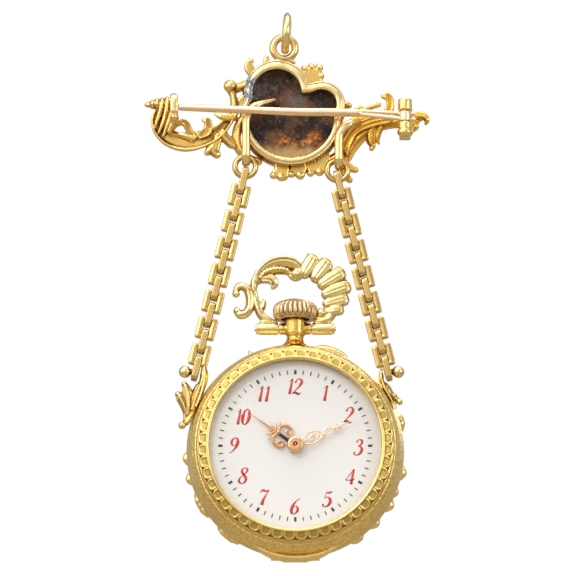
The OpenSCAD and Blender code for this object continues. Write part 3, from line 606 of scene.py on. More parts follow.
def scrollShell(rows, y=4.1, depth=0.6, sides=26, steps=8, form=roundForm):
    # a section of changing half width carried along a curve in X and Z, with rounded ends
    p = spline([list(row) + [y] for row in rows], steps)
    p[:, 2] = np.maximum(p[:, 2], 0.04)
    centre, tangent, cap = roundedEnds(p[:, :2], unit(np.gradient(p[:, :2], axis=0)), p[:, 2])
    half, level = np.pad(p[:, 2], 4, "edge"), np.pad(p[:, 3], 4, "edge")
    length = runLength(centre)
    phi = np.linspace(0, 2 * np.pi, sides, endpoint=False)[None, :]
    x, d = form(phi, (length / length[-1])[:, None])
    x = x * (half * cap)[:, None]
    d = d * (np.minimum(depth, half * 1.4) * cap)[:, None]
    normal = np.stack([-tangent[:, 1], tangent[:, 0]], -1)
    return shellFromGrid(np.stack([centre[:, :1] + normal[:, :1] * x, level[:, None] + d,
                                   centre[:, 1:] + normal[:, 1:] * x], -1))


def tubeShell(rows, sides=20, steps=8, wide=1.0, reference=(0, 1, 0), closed=False, form=roundForm):
    # a round or flattened wire carried along a curve in space: rows of x, y, z, radius
    p = spline(rows, steps, closed)
    centre, r = p[:, :3], p[:, 3]
    if closed:
        tangent = unit(np.roll(centre, -1, 0) - np.roll(centre, 1, 0))
    else:
        centre, tangent, cap = roundedEnds(centre, unit(np.gradient(centre, axis=0)), r)
        r = np.pad(r, 4, "edge") * cap
    side = unit(np.cross(tangent, np.asarray(reference, float)))
    up = np.cross(side, tangent)
    phi = np.linspace(0, 2 * np.pi, sides, endpoint=False)[None, :]
    x, d = form(phi, np.linspace(0, 1, len(r))[:, None])
    grid = (centre[:, None, :] + side[:, None, :] * (x * r[:, None] * wide)[:, :, None]
            + up[:, None, :] * (d * r[:, None])[:, :, None])
    return shellFromGrid(grid, loop=closed)


def ballShell(centre, radii, rows=12, cols=18):
    # ellipsoid by latitude and longitude
    a = np.linspace(0.06, np.pi - 0.06, rows)[:, None]
    b = np.linspace(0, 2 * np.pi, cols, endpoint=False)[None, :]
    grid = np.stack([np.sin(a) * np.cos(b), np.sin(a) * np.sin(b), np.cos(a) + 0 * b], -1)
    return shellFromGrid(np.asarray(centre) + grid * np.asarray(radii))


def beadRow(rows, y, spacing, size):
    # small balls along a curve in X and Z; the third column scales each one
    p = spline(rows, 12)
    run = runLength(p[:, :2])
    at = np.arange(spacing / 2, run[-1], spacing)
    x, z, k = (np.interp(at, run, p[:, i]) for i in range(3))
    return [ballShell((x[i], y, z[i]), np.array([1, 0.9, 1]) * size * k[i], 8, 10) for i in range(len(at))]


def softened(points, radii, steps=4, closed=True):
    # outline whose corners are replaced by quadratic curves that start and end a radius away
    p = np.asarray(points, float)
    r = np.broadcast_to(np.asarray(radii, float), (len(p),))[:, None]

    def cut(way):
        # a radius from each corner towards its neighbour, but not quite half way there
        length = np.linalg.norm(way, axis=1, keepdims=True)
        return p + way / length * np.minimum(r, 0.45 * length)

    a, b = cut(np.roll(p, 1, 0) - p), cut(np.roll(p, -1, 0) - p)
    t = np.linspace(0, 1, steps + 1)[None, :, None]
    curve = (1 - t) ** 2 * a[:, None] + 2 * t * (1 - t) * p[:, None] + t * t * b[:, None]
    return curve.reshape(-1, 2) if closed else np.concatenate([p[:1], curve[1:-1].reshape(-1, 2), p[-1:]])


def softProfile(rows, steps=4, closed=True):
    # softened outline from rows of radius, height and the softening of that corner
    p = np.asarray(rows, float)
    return softened(p[:, :2], p[:, 2], steps, closed)


def revolved(profile, sides, ring=False):
    # profile of radius and height turned about its own Z, as a ring or with a pole at each end
    p = np.asarray(profile, float)
    a = np.linspace(0, 2 * np.pi, sides, endpoint=False)[None, :]
    r = p[:, :1]
    return shellFromGrid(np.stack([r * np.cos(a), r * np.sin(a), p[:, 1:] + 0 * a], -1), loop=ring)


def frameShell(outer, inner, section):
    # band between two outlines of as many points: section holds a weight from outer to inner, and a depth
    w = np.asarray(section)[:, 0][:, None, None]
    flat = np.asarray(outer)[None] * (1 - w) + np.asarray(inner)[None] * w
    depth = np.repeat(np.asarray(section)[:, 1][:, None], len(outer), 1)
    return shellFromGrid(np.stack([flat[..., 0], depth, flat[..., 1]], -1), loop=True)


def roundedRect(width, height, radius, per=5):
    # outline of a rectangle with arcs at its corners, and spare points along its sides
    a = np.radians(np.linspace(0, 90, per))
    arc = np.stack([np.cos(a), np.sin(a)], -1) * radius
    corners = []
    for turn, (sx, sz) in enumerate(((1, 1), (-1, 1), (-1, -1), (1, -1))):
        c, s = math.cos(turn * math.pi / 2), math.sin(turn * math.pi / 2)
        corners.append(arc @ np.array([[c, s], [-s, c]])
                       + [sx * (width / 2 - radius), sz * (height / 2 - radius)])
    out = []
    for i in range(4):
        a, b = corners[i][-1], corners[(i + 1) % 4][0]
        out += [corners[i], a + (b - a) * np.array([[0.08], [0.92]])]
    return np.concatenate(out)


def onDial(shell, turn=0.0):
    # shell drawn about the dial's centre, its own Z towards the viewer, turned clockwise
    v = shell[0]
    if turn:
        v = v @ turnMatrix((0, 0, 1), -turn).T
    return (np.stack([v[:, 0] + watch["x"], -v[:, 2], v[:, 1] + watch["z"]], -1), shell[1], shell[2])


def roundDial(degrees, radius):
    # X and Z at an angle clockwise from twelve
    a = np.radians(degrees)
    return watch["x"] + radius * np.sin(a), watch["z"] + radius * np.cos(a)


# Centre of the dial, the depth plane of the chains and the bow, and the height of the bow's axis, in mm
watch = dict(x=0.3, z=-44.85, plane=2.8, pendant=-28.65)

# The setting cup

cup = dict(
    centre=(0.5, 0.4), columns=330,
    lobes=((-2.1, 3.05), (3.75, 1.5), (-0.25, -0.05), (1.9, 1.15)),
    outer=(4.35, 3.05, 6.55, 2.6), inner=(3.22, 2.02, 5.72, 1.95),
    outerNotch=(2.28, 4.2), innerNotch=(1.81, 3.15),
    # share of the way from the outer to the inner outline, and depth from the rim
    rimFace=((0.08, 0.0), (0.13, 0.02), (0.19, 0.1), (0.25, 0.02), (0.45, -0.05), (0.72, -0.06),
             (0.93, 0.0)),
    waist=2.0, rimY=1.9, plateY=4.5, floorY=3.85, lip=0.25)


def heartOutline(radii, notch, spread):
    # farthest of four circles from the centre in each direction, filled up to the notch between two lobes
    c = np.array(cup["centre"])
    a = np.linspace(0, 2 * np.pi, cup["columns"], endpoint=False)
    d = np.stack([np.cos(a), np.sin(a)], -1)
    reach = np.zeros(len(a))
    for k, (lobe, r) in enumerate(zip(cup["lobes"], radii)):
        rel = c - lobe
        along = d @ rel
        room = along ** 2 - rel @ rel + (r + spread) ** 2
        hit = np.where(room > 0, -along + np.sqrt(np.maximum(room, 0)), 0)
        if k == 2:      # the great circle counts below the waist alone
            hit = np.where(c[1] + hit * d[:, 1] < cup["waist"], hit, 0)
        reach = np.maximum(reach, hit)
    n = np.asarray(notch) + spread * np.array([0.1, 1.0]) - c
    near = np.exp(-((a - math.atan2(n[1], n[0])) / 0.1) ** 2)
    reach = np.maximum(reach, np.hypot(*n) * near)
    kernel = np.exp(-(np.arange(-9, 10) / 3.6) ** 2)
    wrapped = np.concatenate([reach[-9:], reach, reach[:9]])
    return np.convolve(wrapped, kernel / kernel.sum(), "valid")[:, None] * d + c


def makeCup():
    # rings of the heart outline from the front of its plate, round the rim, down to the recess and its floor
    outer = heartOutline(cup["outer"], cup["outerNotch"], 0)
    lip = heartOutline(cup["outer"], cup["outerNotch"], cup["lip"])
    inner = heartOutline(cup["inner"], cup["innerNotch"], 0)
    c = np.array(cup["centre"])
    plate, rim, floor = cup["plateY"], cup["rimY"], cup["floorY"]
    rings = [(c + (outer - c) * k, plate) for k in (0.3, 0.6, 0.85)]
    rings += [(outer, plate), (lip, plate - 0.05), (lip + (lip - outer) * 0.12, plate - 0.22),
              (lip, plate - 0.42), (outer + (lip - outer) * 0.3, plate - 0.5), (outer, plate - 0.62)]
    rings += [(outer, y) for y in np.linspace(plate - 0.9, rim + 0.35, 6)]
    bead = outer + (outer - inner) * 0.06
    rings += [(bead, rim + 0.22), (bead, rim + 0.1), (outer + (inner - outer) * 0.02, rim + 0.02)]
    rings += [(outer + (inner - outer) * k, rim + y) for k, y in cup["rimFace"]]
    recess = len(rings)
    rings += [(inner, rim + 0.1), (inner, rim + 0.25)]
    rings += [(inner, y) for y in np.linspace(rim + 0.5, floor - 0.35, 7)]
    rings += [(c + (inner - c) * k, floor - 0.3 * k ** 8) for k in np.linspace(0.99, 0.04, 42)]
    grid = np.stack([np.stack([flat[:, 0], np.full(len(flat), y), flat[:, 1]], -1) for flat, y in rings])
    v, q, t = shellFromGrid(grid)
    rough = smoothNoise(v, 2.2, 3)
    fine = smoothNoise(v, 0.55, 5)
    inside = np.zeros(len(v))
    inside[recess * len(outer):len(rings) * len(outer)] = 1
    inside[-1] = 1
    depthIn = inside * smoothStep(v[:, 1] + 0.1 * rough, rim + 0.12, rim + 0.55)
    v = v + np.stack([0 * rough, (0.035 * rough + 0.05 * fine * inside), 0 * rough], -1) * (
        0.4 + 0.6 * inside)[:, None]
    x, z = v[:, 0], v[:, 2]      # rust low in the middle, tan at the bottom, solder at the upper left
    rust = np.exp(-((x - 1.0) / 3.0) ** 4 - ((z + 3.1 - 0.3 * rough) / 1.0) ** 2) * 1.3
    tan = smoothStep(-z + 0.4 * rough, 3.5, 4.7) * inside * 0.85
    solder = np.exp(-((x + 5.9) / 1.15) ** 2 - ((z - 3.6) / 2.1) ** 2) * 1.5
    return (v, q, t), dict(soiled=depthIn, rust=np.clip(rust, 0, 1), tan=np.clip(tan, 0, 1),
                           solder=np.clip(solder, 0, 1))


shell, fields = makeCup()
writePiece("settingCup", shell, settingCup, "brooch", ["brooch_mount"], extras=fields)

# Eye, its foot, and the ring that hangs in it

eye = dict(x=-1.18, y=2.6, z=9.2, radius=1.47, wire=0.5)
eyeFoot = [(-2.3, 7.35, 0.28), (-1.1, 7.55, 0.42), (0.1, 7.3, 0.28)]
hangRing = dict(x=-0.85, y=2.6, z=11.2, radius=2.23, wire=0.55, count=36, lean=5, across="y")


def ringRows(x, y, z, radius, wire, count=28, lean=0.0, across="x"):
    # points of a circle in X and Z, or in Y and Z when it is seen edge on, with a wire radius
    a = np.linspace(0, 2 * np.pi, count, endpoint=False)
    c, s = np.cos(a) * radius, np.sin(a) * radius
    if across == "x":
        return np.stack([x + c, y + 0 * a, z + s, wire + 0 * a], -1)
    k = math.radians(lean)
    return np.stack([x + s * math.sin(k), y + c, z + s * math.cos(k), wire + 0 * a], -1)


eyeShell = fused([tubeShell(ringRows(**eye), closed=True, steps=4),
                  scrollShell(eyeFoot, y=eye["y"], depth=0.45)], 0.085, 5)
writePiece("hangingEye", eyeShell, gold["paleGold"], "brooch", ["brooch_mount"])
writePiece("hangingRing", tubeShell(ringRows(**hangRing), 28, 4, reference=(1, 0, 0.09), closed=True),
           gold["paleGold"], "brooch", ["hang_ring"])

# Left wing: crescent with raised edges, sprouts, shell cone, curl and buds

leftWing = dict(
    crescent=[(-17.45, 1.3, 0.62), (-17.85, -0.1, 0.85), (-17.6, -1.4, 0.98), (-16.75, -2.5, 1.02),
              (-15.6, -3.1, 1.1), (-14.3, -3.3, 1.18), (-13.0, -3.05, 1.25), (-11.8, -2.7, 1.1),
              (-10.7, -2.3, 0.82), (-9.7, -1.65, 0.66), (-8.8, -0.8, 0.56), (-8.0, 0.3, 0.5),
              (-7.3, 1.5, 0.48), (-6.6, 2.8, 0.45)],
    outerEdge=[(-18.25, 1.0, 0.13), (-18.62, -0.1, 0.16), (-18.45, -1.6, 0.18), (-17.5, -3.0, 0.2),
               (-16.0, -3.95, 0.22), (-14.3, -4.3, 0.24), (-12.7, -4.12, 0.24), (-11.3, -3.62, 0.22),
               (-10.1, -2.95, 0.2), (-9.0, -1.95, 0.18), (-8.2, -0.75, 0.17), (-7.4, 0.7, 0.16)],
    innerEdge=[(-10.9, -1.55, 0.14), (-10.0, -1.05, 0.15), (-9.2, -0.3, 0.15), (-8.5, 0.6, 0.15),
               (-7.8, 1.6, 0.14)],
    lowSprout=[(-13.3, -2.75, 0.5), (-14.2, -2.45, 0.42), (-15.0, -2.2, 0.34), (-15.75, -1.9, 0.2)],
    midSprout=[(-13.35, -2.6, 0.62), (-13.75, -1.6, 0.5), (-14.1, -0.85, 0.5), (-14.65, -0.5, 0.42),
               (-15.05, -0.85, 0.26)],
    tallSprout=[(-12.3, -2.4, 0.5), (-11.45, -1.9, 0.66), (-11.2, -1.1, 0.58), (-11.3, -0.45, 0.52),
                (-11.75, -0.2, 0.34)],
    curl=[(-7.75, 0.9, 0.6), (-7.75, 2.0, 0.55), (-7.9, 3.0, 0.5), (-8.15, 3.9, 0.7)],
    solder=[(-7.9, 4.0, 0.65), (-7.0, 4.2, 0.62), (-6.2, 4.5, 0.7)],
    leafTip=[(-7.9, 0.1, 0.6), (-8.7, 0.0, 0.56), (-9.5, 0.2, 0.46), (-10.3, 0.55, 0.2)],
    budLow=[(-10.0, -2.7, 0.8), (-10.3, -3.7, 0.8), (-10.4, -4.4, 0.8), (-10.1, -4.85, 0.62)],
    budSide=[(-10.5, -3.8, 0.6), (-11.05, -4.3, 0.56), (-11.35, -4.55, 0.4)],
    budRight=[(-9.3, -2.2, 0.75), (-8.6, -2.95, 0.72), (-8.1, -3.5, 0.66), (-7.7, -3.75, 0.45)],
    innerBand=[(-6.9, -0.1, 0.4), (-7.3, -1.3, 0.62), (-7.4, -2.8, 0.72), (-7.05, -4.2, 0.66),
               (-6.2, -5.1, 0.6), (-4.6, -5.85, 0.56)],
    ribs=[[(-15.95, 2.0, 0.32), (-16.1, 0.6, 0.34), (-16.65, -1.15, 0.32), (-17.15, -2.5, 0.16)],
          [(-16.65, 2.1, 0.32), (-16.85, 0.6, 0.34), (-17.3, -1.0, 0.3), (-17.75, -2.1, 0.14)],
          [(-17.35, 2.0, 0.3), (-17.6, 0.7, 0.32), (-18.05, -0.7, 0.24), (-18.2, -1.4, 0.12)]],
    cone=[(-19.35, 1.8, 0.32), (-18.85, 1.84, 0.56), (-18.1, 1.9, 0.82), (-17.2, 1.94, 0.98),
          (-16.5, 1.98, 1.04)],
    ribRoot=[(-15.7, -0.9, 0.5), (-16.15, -1.2, 0.62), (-16.7, -1.6, 0.5)],
    catchRoot=[(-15.6, -0.4, 0.55), (-15.9, -1.2, 0.6), (-16.3, -2.0, 0.4)],
    buds=((-10.05, -5.0), (-11.35, -4.7), (-7.7, -3.85), (-10.5, -4.6)))


def makeLeftWing():
    # every scroll of the wing at its own depth, melted into one skin
    w = leftWing
    parts = [scrollShell(w["crescent"], form=dishedForm(0.45), sides=40, steps=10),
             scrollShell(w["outerEdge"], y=3.62, depth=0.24), scrollShell(w["innerEdge"], y=3.66, depth=0.2),
             scrollShell(w["lowSprout"], y=4.0), scrollShell(w["midSprout"], y=3.95, form=dishedForm(0.35)),
             scrollShell(w["tallSprout"], y=3.95, form=dishedForm(0.35)),
             scrollShell(w["curl"], y=4.0), ballShell((-8.3, 3.75, 4.3), (0.9, 0.75, 0.85)),
             scrollShell(w["solder"]), scrollShell(w["leafTip"], y=3.9, form=flutedForm(4, 0.18)),
             scrollShell(w["budLow"], y=4.0, form=flutedForm(5, 0.15)),
             scrollShell(w["budSide"], y=4.0), scrollShell(w["budRight"], y=4.0, form=flutedForm(5, 0.15)),
             scrollShell(w["innerBand"], form=flutedForm(3, 0.2)),
             scrollShell(w["cone"], y=4.0, depth=0.95, sides=36, steps=14, form=ribbedForm(6.2, 0.24, 0.7)),
             scrollShell(w["ribRoot"], y=4.0)]
    parts += [scrollShell(rows, y=3.4, depth=0.45) for rows in w["ribs"]]      # down from the shell cone
    parts.append(ballShell((-15.66, 1.35, -0.4), (0.62, 0.8, 0.62)))           # lobe over the catch's root
    parts.append(scrollShell(w["catchRoot"], y=2.6, depth=0.9))
    parts += [ballShell((x, 3.95, z), (0.42, 0.45, 0.4)) for x, z in w["buds"]]
    return fused(parts, 0.085, 2)


writePiece("leftWing", makeLeftWing(), gold["castGold"], "brooch", ["brooch_mount"])

# Right wing: fluted acanthus that fans from the hinge to the cup

rightWing = dict(
    mainRib=[(17.0, 0.25, 0.6), (15.8, 0.05, 1.0), (14.6, -0.2, 1.15), (13.0, -0.45, 1.0),
             (11.4, -0.9, 0.9), (9.9, -1.5, 1.0), (8.6, -2.5, 1.15), (7.6, -3.8, 1.1),
             (7.1, -5.1, 0.85), (6.5, -6.35, 0.6)],
    upperRib=[(13.2, 0.5, 0.6), (11.4, 0.45, 0.8), (9.6, 0.1, 0.85), (8.0, -0.7, 0.82),
              (6.9, -1.9, 0.72), (6.1, -3.4, 0.6)],
    tip=[(15.8, 0.2, 0.8), (16.7, 0.35, 0.66), (17.4, 0.2, 0.5), (17.75, -0.25, 0.4), (17.6, -0.7, 0.26)],
    tipLow=[(15.7, -0.5, 0.8), (16.2, -1.0, 0.62), (15.85, -1.6, 0.36)],
    lobe=[(10.9, -1.3, 0.8), (10.35, -2.2, 0.9), (10.35, -3.1, 0.7), (10.6, -3.75, 0.42),
          (10.4, -4.1, 0.25)],
    lobeEdge=[(11.6, -1.3, 0.4), (11.3, -2.2, 0.36), (11.2, -2.9, 0.28), (11.35, -3.4, 0.18)],
    hookLeaf=[(12.6, 0.7, 0.62), (12.85, 1.6, 0.58), (12.85, 2.4, 0.54), (12.5, 2.95, 0.48),
              (12.0, 2.95, 0.34)],
    stalk=[(8.6, 0.75, 0.36), (9.5, 1.1, 0.36), (10.4, 1.5, 0.34), (11.3, 1.75, 0.3)],
    stalkBud=[(8.1, 0.7, 0.42), (8.55, 1.2, 0.32), (8.95, 1.35, 0.24)],
    topBud=[(6.3, 1.75, 0.42), (7.0, 1.85, 0.44), (7.5, 1.7, 0.34)],
    budA=[(7.0, -6.1, 0.5), (7.7, -6.75, 0.55), (8.2, -6.95, 0.48)],
    budB=[(6.6, -7.0, 0.5), (7.0, -7.8, 0.6), (7.45, -8.3, 0.5)],
    innerLow=[(6.5, -4.5, 0.57), (5.35, -5.45, 0.68), (4.3, -6.05, 0.78)],
    vein=[(13.2, 0.35, 0.12), (11.0, 0.1, 0.15), (9.0, -0.6, 0.17), (7.4, -1.9, 0.17), (6.4, -3.6, 0.14)],
    veinSpread=[(-0.4, -1.0, 0), (-0.6, -1.3, 0), (-0.5, -1.5, 0), (0.2, -1.7, 0), (0.7, -1.5, 0)],
    buds=((7.3, 1.65), (8.95, 1.4), (12.0, 2.95), (11.35, 1.85), (8.25, -7.0), (7.5, -8.4), (10.4, -4.1)))


def makeRightWing():
    # fluted ribs, tips and buds, and veins that lie on them, melted into one skin
    w = rightWing
    parts = [scrollShell(w["mainRib"], form=flutedForm(7, 0.2), sides=48, steps=10),
             scrollShell(w["upperRib"], y=4.0, form=flutedForm(6, 0.22), sides=40, steps=10),
             scrollShell(w["tip"], y=4.0, form=flutedForm(5, 0.2)),
             scrollShell(w["tipLow"], y=4.05, form=flutedForm(5, 0.2)),
             scrollShell(w["lobe"], y=4.0, form=flutedForm(5, 0.22)),
             scrollShell(w["lobeEdge"], y=4.0), scrollShell(w["hookLeaf"], y=3.95, form=dishedForm(0.3)),
             scrollShell(w["stalk"], y=3.9, form=flutedForm(4, 0.15)), scrollShell(w["stalkBud"], y=3.95),
             scrollShell(w["topBud"], y=3.9), scrollShell(w["budA"], y=4.0, form=flutedForm(4, 0.2)),
             scrollShell(w["budB"], y=4.0, form=flutedForm(4, 0.2)), scrollShell(w["innerLow"])]
    for i in range(5):      # veins that fan over the leaf towards the cup
        rows = np.array(w["vein"]) + np.array(w["veinSpread"]) * (i / 4)
        parts.append(scrollShell(rows, y=3.42 + 0.05 * (i % 2), depth=0.26))
    parts += [ballShell((x, 3.95, z), (0.36, 0.4, 0.34)) for x, z in w["buds"]]
    return fused(parts, 0.085, 2)


writePiece("rightWing", makeRightWing(), gold["amberGold"], "brooch", ["brooch_mount"])

# Leaves of the front border that show round the cup

borderLeaves = dict(
    budLeft=[(-5.3, 6.0, 0.6), (-5.75, 6.7, 0.66), (-5.85, 7.35, 0.55), (-5.6, 7.9, 0.3)],
    budMid=[(-3.4, 7.3, 0.5), (-3.55, 7.9, 0.42), (-3.45, 8.3, 0.3)],
    squareLeaf=[(2.15, 4.9, 0.85), (2.2, 5.7, 0.95), (2.3, 6.3, 0.8)],
    squareSide=[(3.0, 4.9, 0.8), (3.15, 5.7, 0.85), (3.2, 6.3, 0.7)],
    squareTip=[(2.2, 5.6, 0.7), (1.8, 6.1, 0.6), (1.6, 6.4, 0.45)],
    lowA=[(-1.5, -6.1, 1.0), (-1.45, -7.1, 1.0), (-1.3, -7.8, 0.7)],
    lowASide=[(-1.6, -6.9, 0.7), (-2.2, -7.5, 0.6), (-2.5, -7.8, 0.42)],
    lowB=[(0.7, -6.1, 1.0), (0.9, -7.0, 0.95), (0.95, -7.6, 0.65)],
    lowBSide=[(0.4, -6.7, 0.7), (0.0, -7.4, 0.55), (-0.2, -7.7, 0.34)],
    lowC=[(4.0, -5.4, 1.0), (3.85, -6.5, 0.95), (3.5, -7.2, 0.6)],
    lowD=[(2.4, -6.1, 0.8), (2.5, -6.9, 0.7), (2.35, -7.4, 0.45)])
borderBalls = [(-2.6, -7.75, 0.5), (-1.55, -7.95, 0.62), (-0.2, -7.6, 0.5), (0.95, -7.75, 0.6),
               (2.3, -7.45, 0.5), (3.5, -7.3, 0.58), (1.5, 6.7, 0.46), (2.45, 6.95, 0.5),
               (3.5, 6.85, 0.52), (3.75, 5.7, 0.45), (-5.6, 7.75, 0.42)]      # x, z, radius
border = [scrollShell(rows, y=3.95, form=dishedForm(0.16), sides=36) for rows in borderLeaves.values()]
border += [ballShell((x, 3.85, z), (r, 0.5, r)) for x, z, r in borderBalls]
writePiece("borderLeaves", fused(border, 0.09, 2), gold["castGold"], "brooch",
           ["brooch_mount"])

# Chain hooks: flattened wire over the rim, down, round and back up

hooks = dict(
    left=[(-2.55, 3.03, 2.35, 0.38), (-3.4, 2.4, 1.95, 0.4), (-4.87, 1.5, 1.23, 0.42),
          (-5.75, 1.5, 0.4, 0.42), (-6.15, 1.62, -0.7, 0.42), (-6.2, 1.65, -2.4, 0.42),
          (-6.2, 1.65, -4.2, 0.43), (-6.2, 1.66, -5.2, 0.44)],
    right=[(8.6, 3.1, -0.6, 0.4), (7.9, 2.2, -0.95, 0.42), (7.33, 1.75, -1.25, 0.43),
           (6.5, 1.6, -2.0, 0.44), (6.08, 1.63, -3.0, 0.44), (6.05, 1.65, -4.4, 0.44),
           (6.05, 1.66, -5.7, 0.44)],
    climb=dict(left=-2.6, right=-2.0), bend=1.15, plane=2.8, wire=0.44, swell=1.28, flat=0.78)


def hookShell(side):
    # the wire's own points, then a half circle down to the back, then up to the mount
    h = hooks
    climb = h["climb"][side]
    x, _, z, _ = h[side][-1]
    a = np.radians(np.linspace(20, 160, 6))
    turn = np.stack([np.full(6, x), h["plane"] - h["bend"] * np.cos(a),
                     z - h["bend"] * np.sin(a), np.full(6, h["wire"])], -1)
    back = h["plane"] + h["bend"]
    path = np.concatenate([h[side], turn, [(x, back, z, 0.44), (x, back, (z + climb) / 2, 0.44),
                                           (x, back, climb, 0.42)]])
    path[:, 3] *= h["swell"]
    return tubeShell(path, 24, 8, wide=h["flat"], reference=(1, 0, 0))


for side in ("left", "right"):
    writePiece("hook" + side.capitalize(), hookShell(side), gold["paleGold"], "brooch",
               ["brooch_mount"])

# Catch: a pale strip that turns over in front of the pin's point

catch = dict(x=-15.68, half=0.52, y=0.2, z=1.3, bend=0.98, thick=0.25,
             front=(0.1, 0.7), back=(0.4, -0.5), foot=[(1.7, -0.95), (2.7, -0.9), (3.9, -0.75)])


def stripForm(phi, s):
    # boxy section of a flat strip with rounded edges
    return boxy(phi, s, 0.75, 0.75)


def catchShell():
    # strip carried along an upturned hook in Y and Z, from its lip over the bend to its foot on the wing
    c = catch
    a = np.radians(np.linspace(180, 0, 9))
    arc = np.stack([c["y"] + c["bend"] * np.cos(a), c["z"] + c["bend"] * np.sin(a)], -1)
    lip = [(c["y"] - c["bend"], z) for z in c["front"]]
    shank = [(c["y"] + c["bend"], z) for z in c["back"]]
    path = np.concatenate([lip, arc, shank, c["foot"]])
    rows = np.stack([np.full(len(path), c["x"]), path[:, 0], path[:, 1], np.full(len(path), c["half"])], -1)
    return tubeShell(rows, 28, 6, wide=c["thick"] / c["half"], reference=(1, 0, 0), form=stripForm)


writePiece("pinCatch", catchShell(), gold["paleGold"], "brooch", ["brooch_mount"])

# Hinge tube of the pin: two barrels, the rivet between them and a rounded foot

hinge = dict(x=14.8, radius=0.95, top=1.67, gapTop=0.18, gapLow=-1.42, foot=-3.3, rivet=0.4, soft=0.16)


def standing(profile, x, y, sides=48):
    # a turned piece that stands on its own Z at x and y
    return moved(revolved(profile, sides), (x, y, 0))


def barrelProfile(low, high, foot=False):
    # side of a barrel from its lower to its upper end with softened edges
    radius, soft = hinge["radius"], hinge["soft"]
    if foot:
        return softProfile([(0, low, 0), (radius * 0.8, low, 0.4), (radius * 1.1, low + 0.35, 0.3),
                            (radius * 1.08, low + 0.75, 0.2), (radius * 0.98, low + 1.0, 0.2),
                            (radius, high, soft), (0, high, 0)], closed=False)
    return softened([(0, low), (radius, low), (radius, high), (0, high)], soft, closed=False)


h = hinge
hingeParts = [standing(barrelProfile(h["gapTop"], h["top"]), h["x"], 0),
              standing(barrelProfile(h["foot"], h["gapLow"], foot=True), h["x"], 0),
              standing([(0, h["foot"] + 0.3), (h["rivet"], h["foot"] + 0.3), (h["rivet"], h["top"] - 0.3),
                        (0, h["top"] - 0.3)], h["x"], 0, 32)]
for low, high in ((h["gapTop"] + 0.1, h["top"] - 0.1), (h["foot"] + 0.15, h["gapLow"] - 0.1)):
    # a bracket from each barrel back to the wing: one outline, smaller at its two ends
    outline = roundedRect(1.5, high - low, 0.2)
    rings = [np.stack([outline[:, 0] * k + h["x"], np.full(len(outline), y),
                       outline[:, 1] * k + (low + high) / 2], -1)
             for y, k in ((0.2, 0.6), (0.2, 1), (3.2, 1), (3.3, 0.9))]
    hingeParts.append(shellFromGrid(np.stack(rings)))
writePiece("hingeBarrels", joined(hingeParts), gold["warmCase"], "brooch",
           ["hinge_barrel"])

# The pin: a stem with a long point, two strands that part near the hinge and wrap its rivet

pin = dict(
    stem=[(-15.95, 0, 0.67, 0.1), (-15.5, 0, 0.65, 0.26), (-14.9, 0, 0.62, 0.42), (-14.0, 0, 0.58, 0.47),
          (-8, 0, 0.34, 0.52), (0, 0, 0, 0.56), (5, 0, -0.06, 0.57), (8.6, 0, -0.14, 0.5)],
    upper=[(5.6, -0.02, 0.02, 0.3), (8.6, -0.02, 0.06, 0.3), (12, -0.03, -0.1, 0.3),
           (14.6, -0.05, -0.24, 0.3), (16.0, 0.0, -0.24, 0.29)],
    lower=[(5.6, -0.02, -0.26, 0.3), (8.6, -0.02, -0.34, 0.3), (12, -0.03, -0.7, 0.3),
           (14.6, -0.05, -0.96, 0.3), (16.0, 0.0, -1.0, 0.29)],
    knuckle=[(0.47, -1.3), (0.83, -1.3), (0.83, 0.06), (0.47, 0.06)])
knuckle = moved(revolved(softened(pin["knuckle"], 0.08), 40, ring=True), (hinge["x"], 0, 0))
pinShell = fused([tubeShell(pin["stem"], 24, 10), tubeShell(pin["upper"], 18), tubeShell(pin["lower"], 18),
                  knuckle], 0.09, 4)
writePiece("pinStem", pinShell, gold["roseGold"], "pin_body", ["pin"], reach=0.1)
print("scene: brooch done")

# Chains: jump ring, wide links face on and narrow links edge on

chains = dict(
    wide=(2.6, 2.96), rail=0.88, bar=0.5, depth=0.9, narrow=(1.9, 3.4), narrowBar=0.66, thick=0.76, count=7,
    left=dict(ring=(-6.3, -6.8), first=(-7.08, -10.72), pitch=3.68, lean=13.6),
    right=dict(ring=(5.87, -7.3), first=(6.65, -11.27), pitch=3.6, lean=-14.1),
    ringRadius=1.36, ringWire=0.37, play=0.1)


def linkSection(half, soft):
    # section of a link's rail: weight from the outer to the inner outline, and depth, with soft corners
    corners = softened([(0, -half), (1, -half), (1, half), (0, half)], [soft] * 4, 4)
    flat = np.array([0.32, 0.5, 0.68])
    bulge = np.array([0.03, 0.05, 0.03])
    front = np.stack([flat, -half - bulge], -1)
    back = np.stack([flat[::-1], half + bulge], -1)
    return np.concatenate([corners[:5], front, corners[5:15], back, corners[15:]])


def wideLink():
    c = chains
    width, length = c["wide"]
    outer = roundedRect(width, length, 0.24)
    inner = roundedRect(width - 2 * c["rail"], length - 2 * c["bar"], 0.16)
    return frameShell(outer, inner, linkSection(c["depth"] / 2, 0.2))


def narrowLink(extra=0.0):
    # drawn face on, then turned a quarter about its length so that it stands edge on
    c = chains
    deep, length = c["narrow"]
    length += extra
    outer = roundedRect(deep, length, 0.62, 9) + [0, extra / 2]
    inner = roundedRect(deep - 0.8, length - 2 * c["narrowBar"], 0.3, 9) + [0, extra / 2]
    return moved(frameShell(outer, inner, linkSection(c["thick"] / 2, 0.14)), turn=turnMatrix((0, 0, 1), 90))


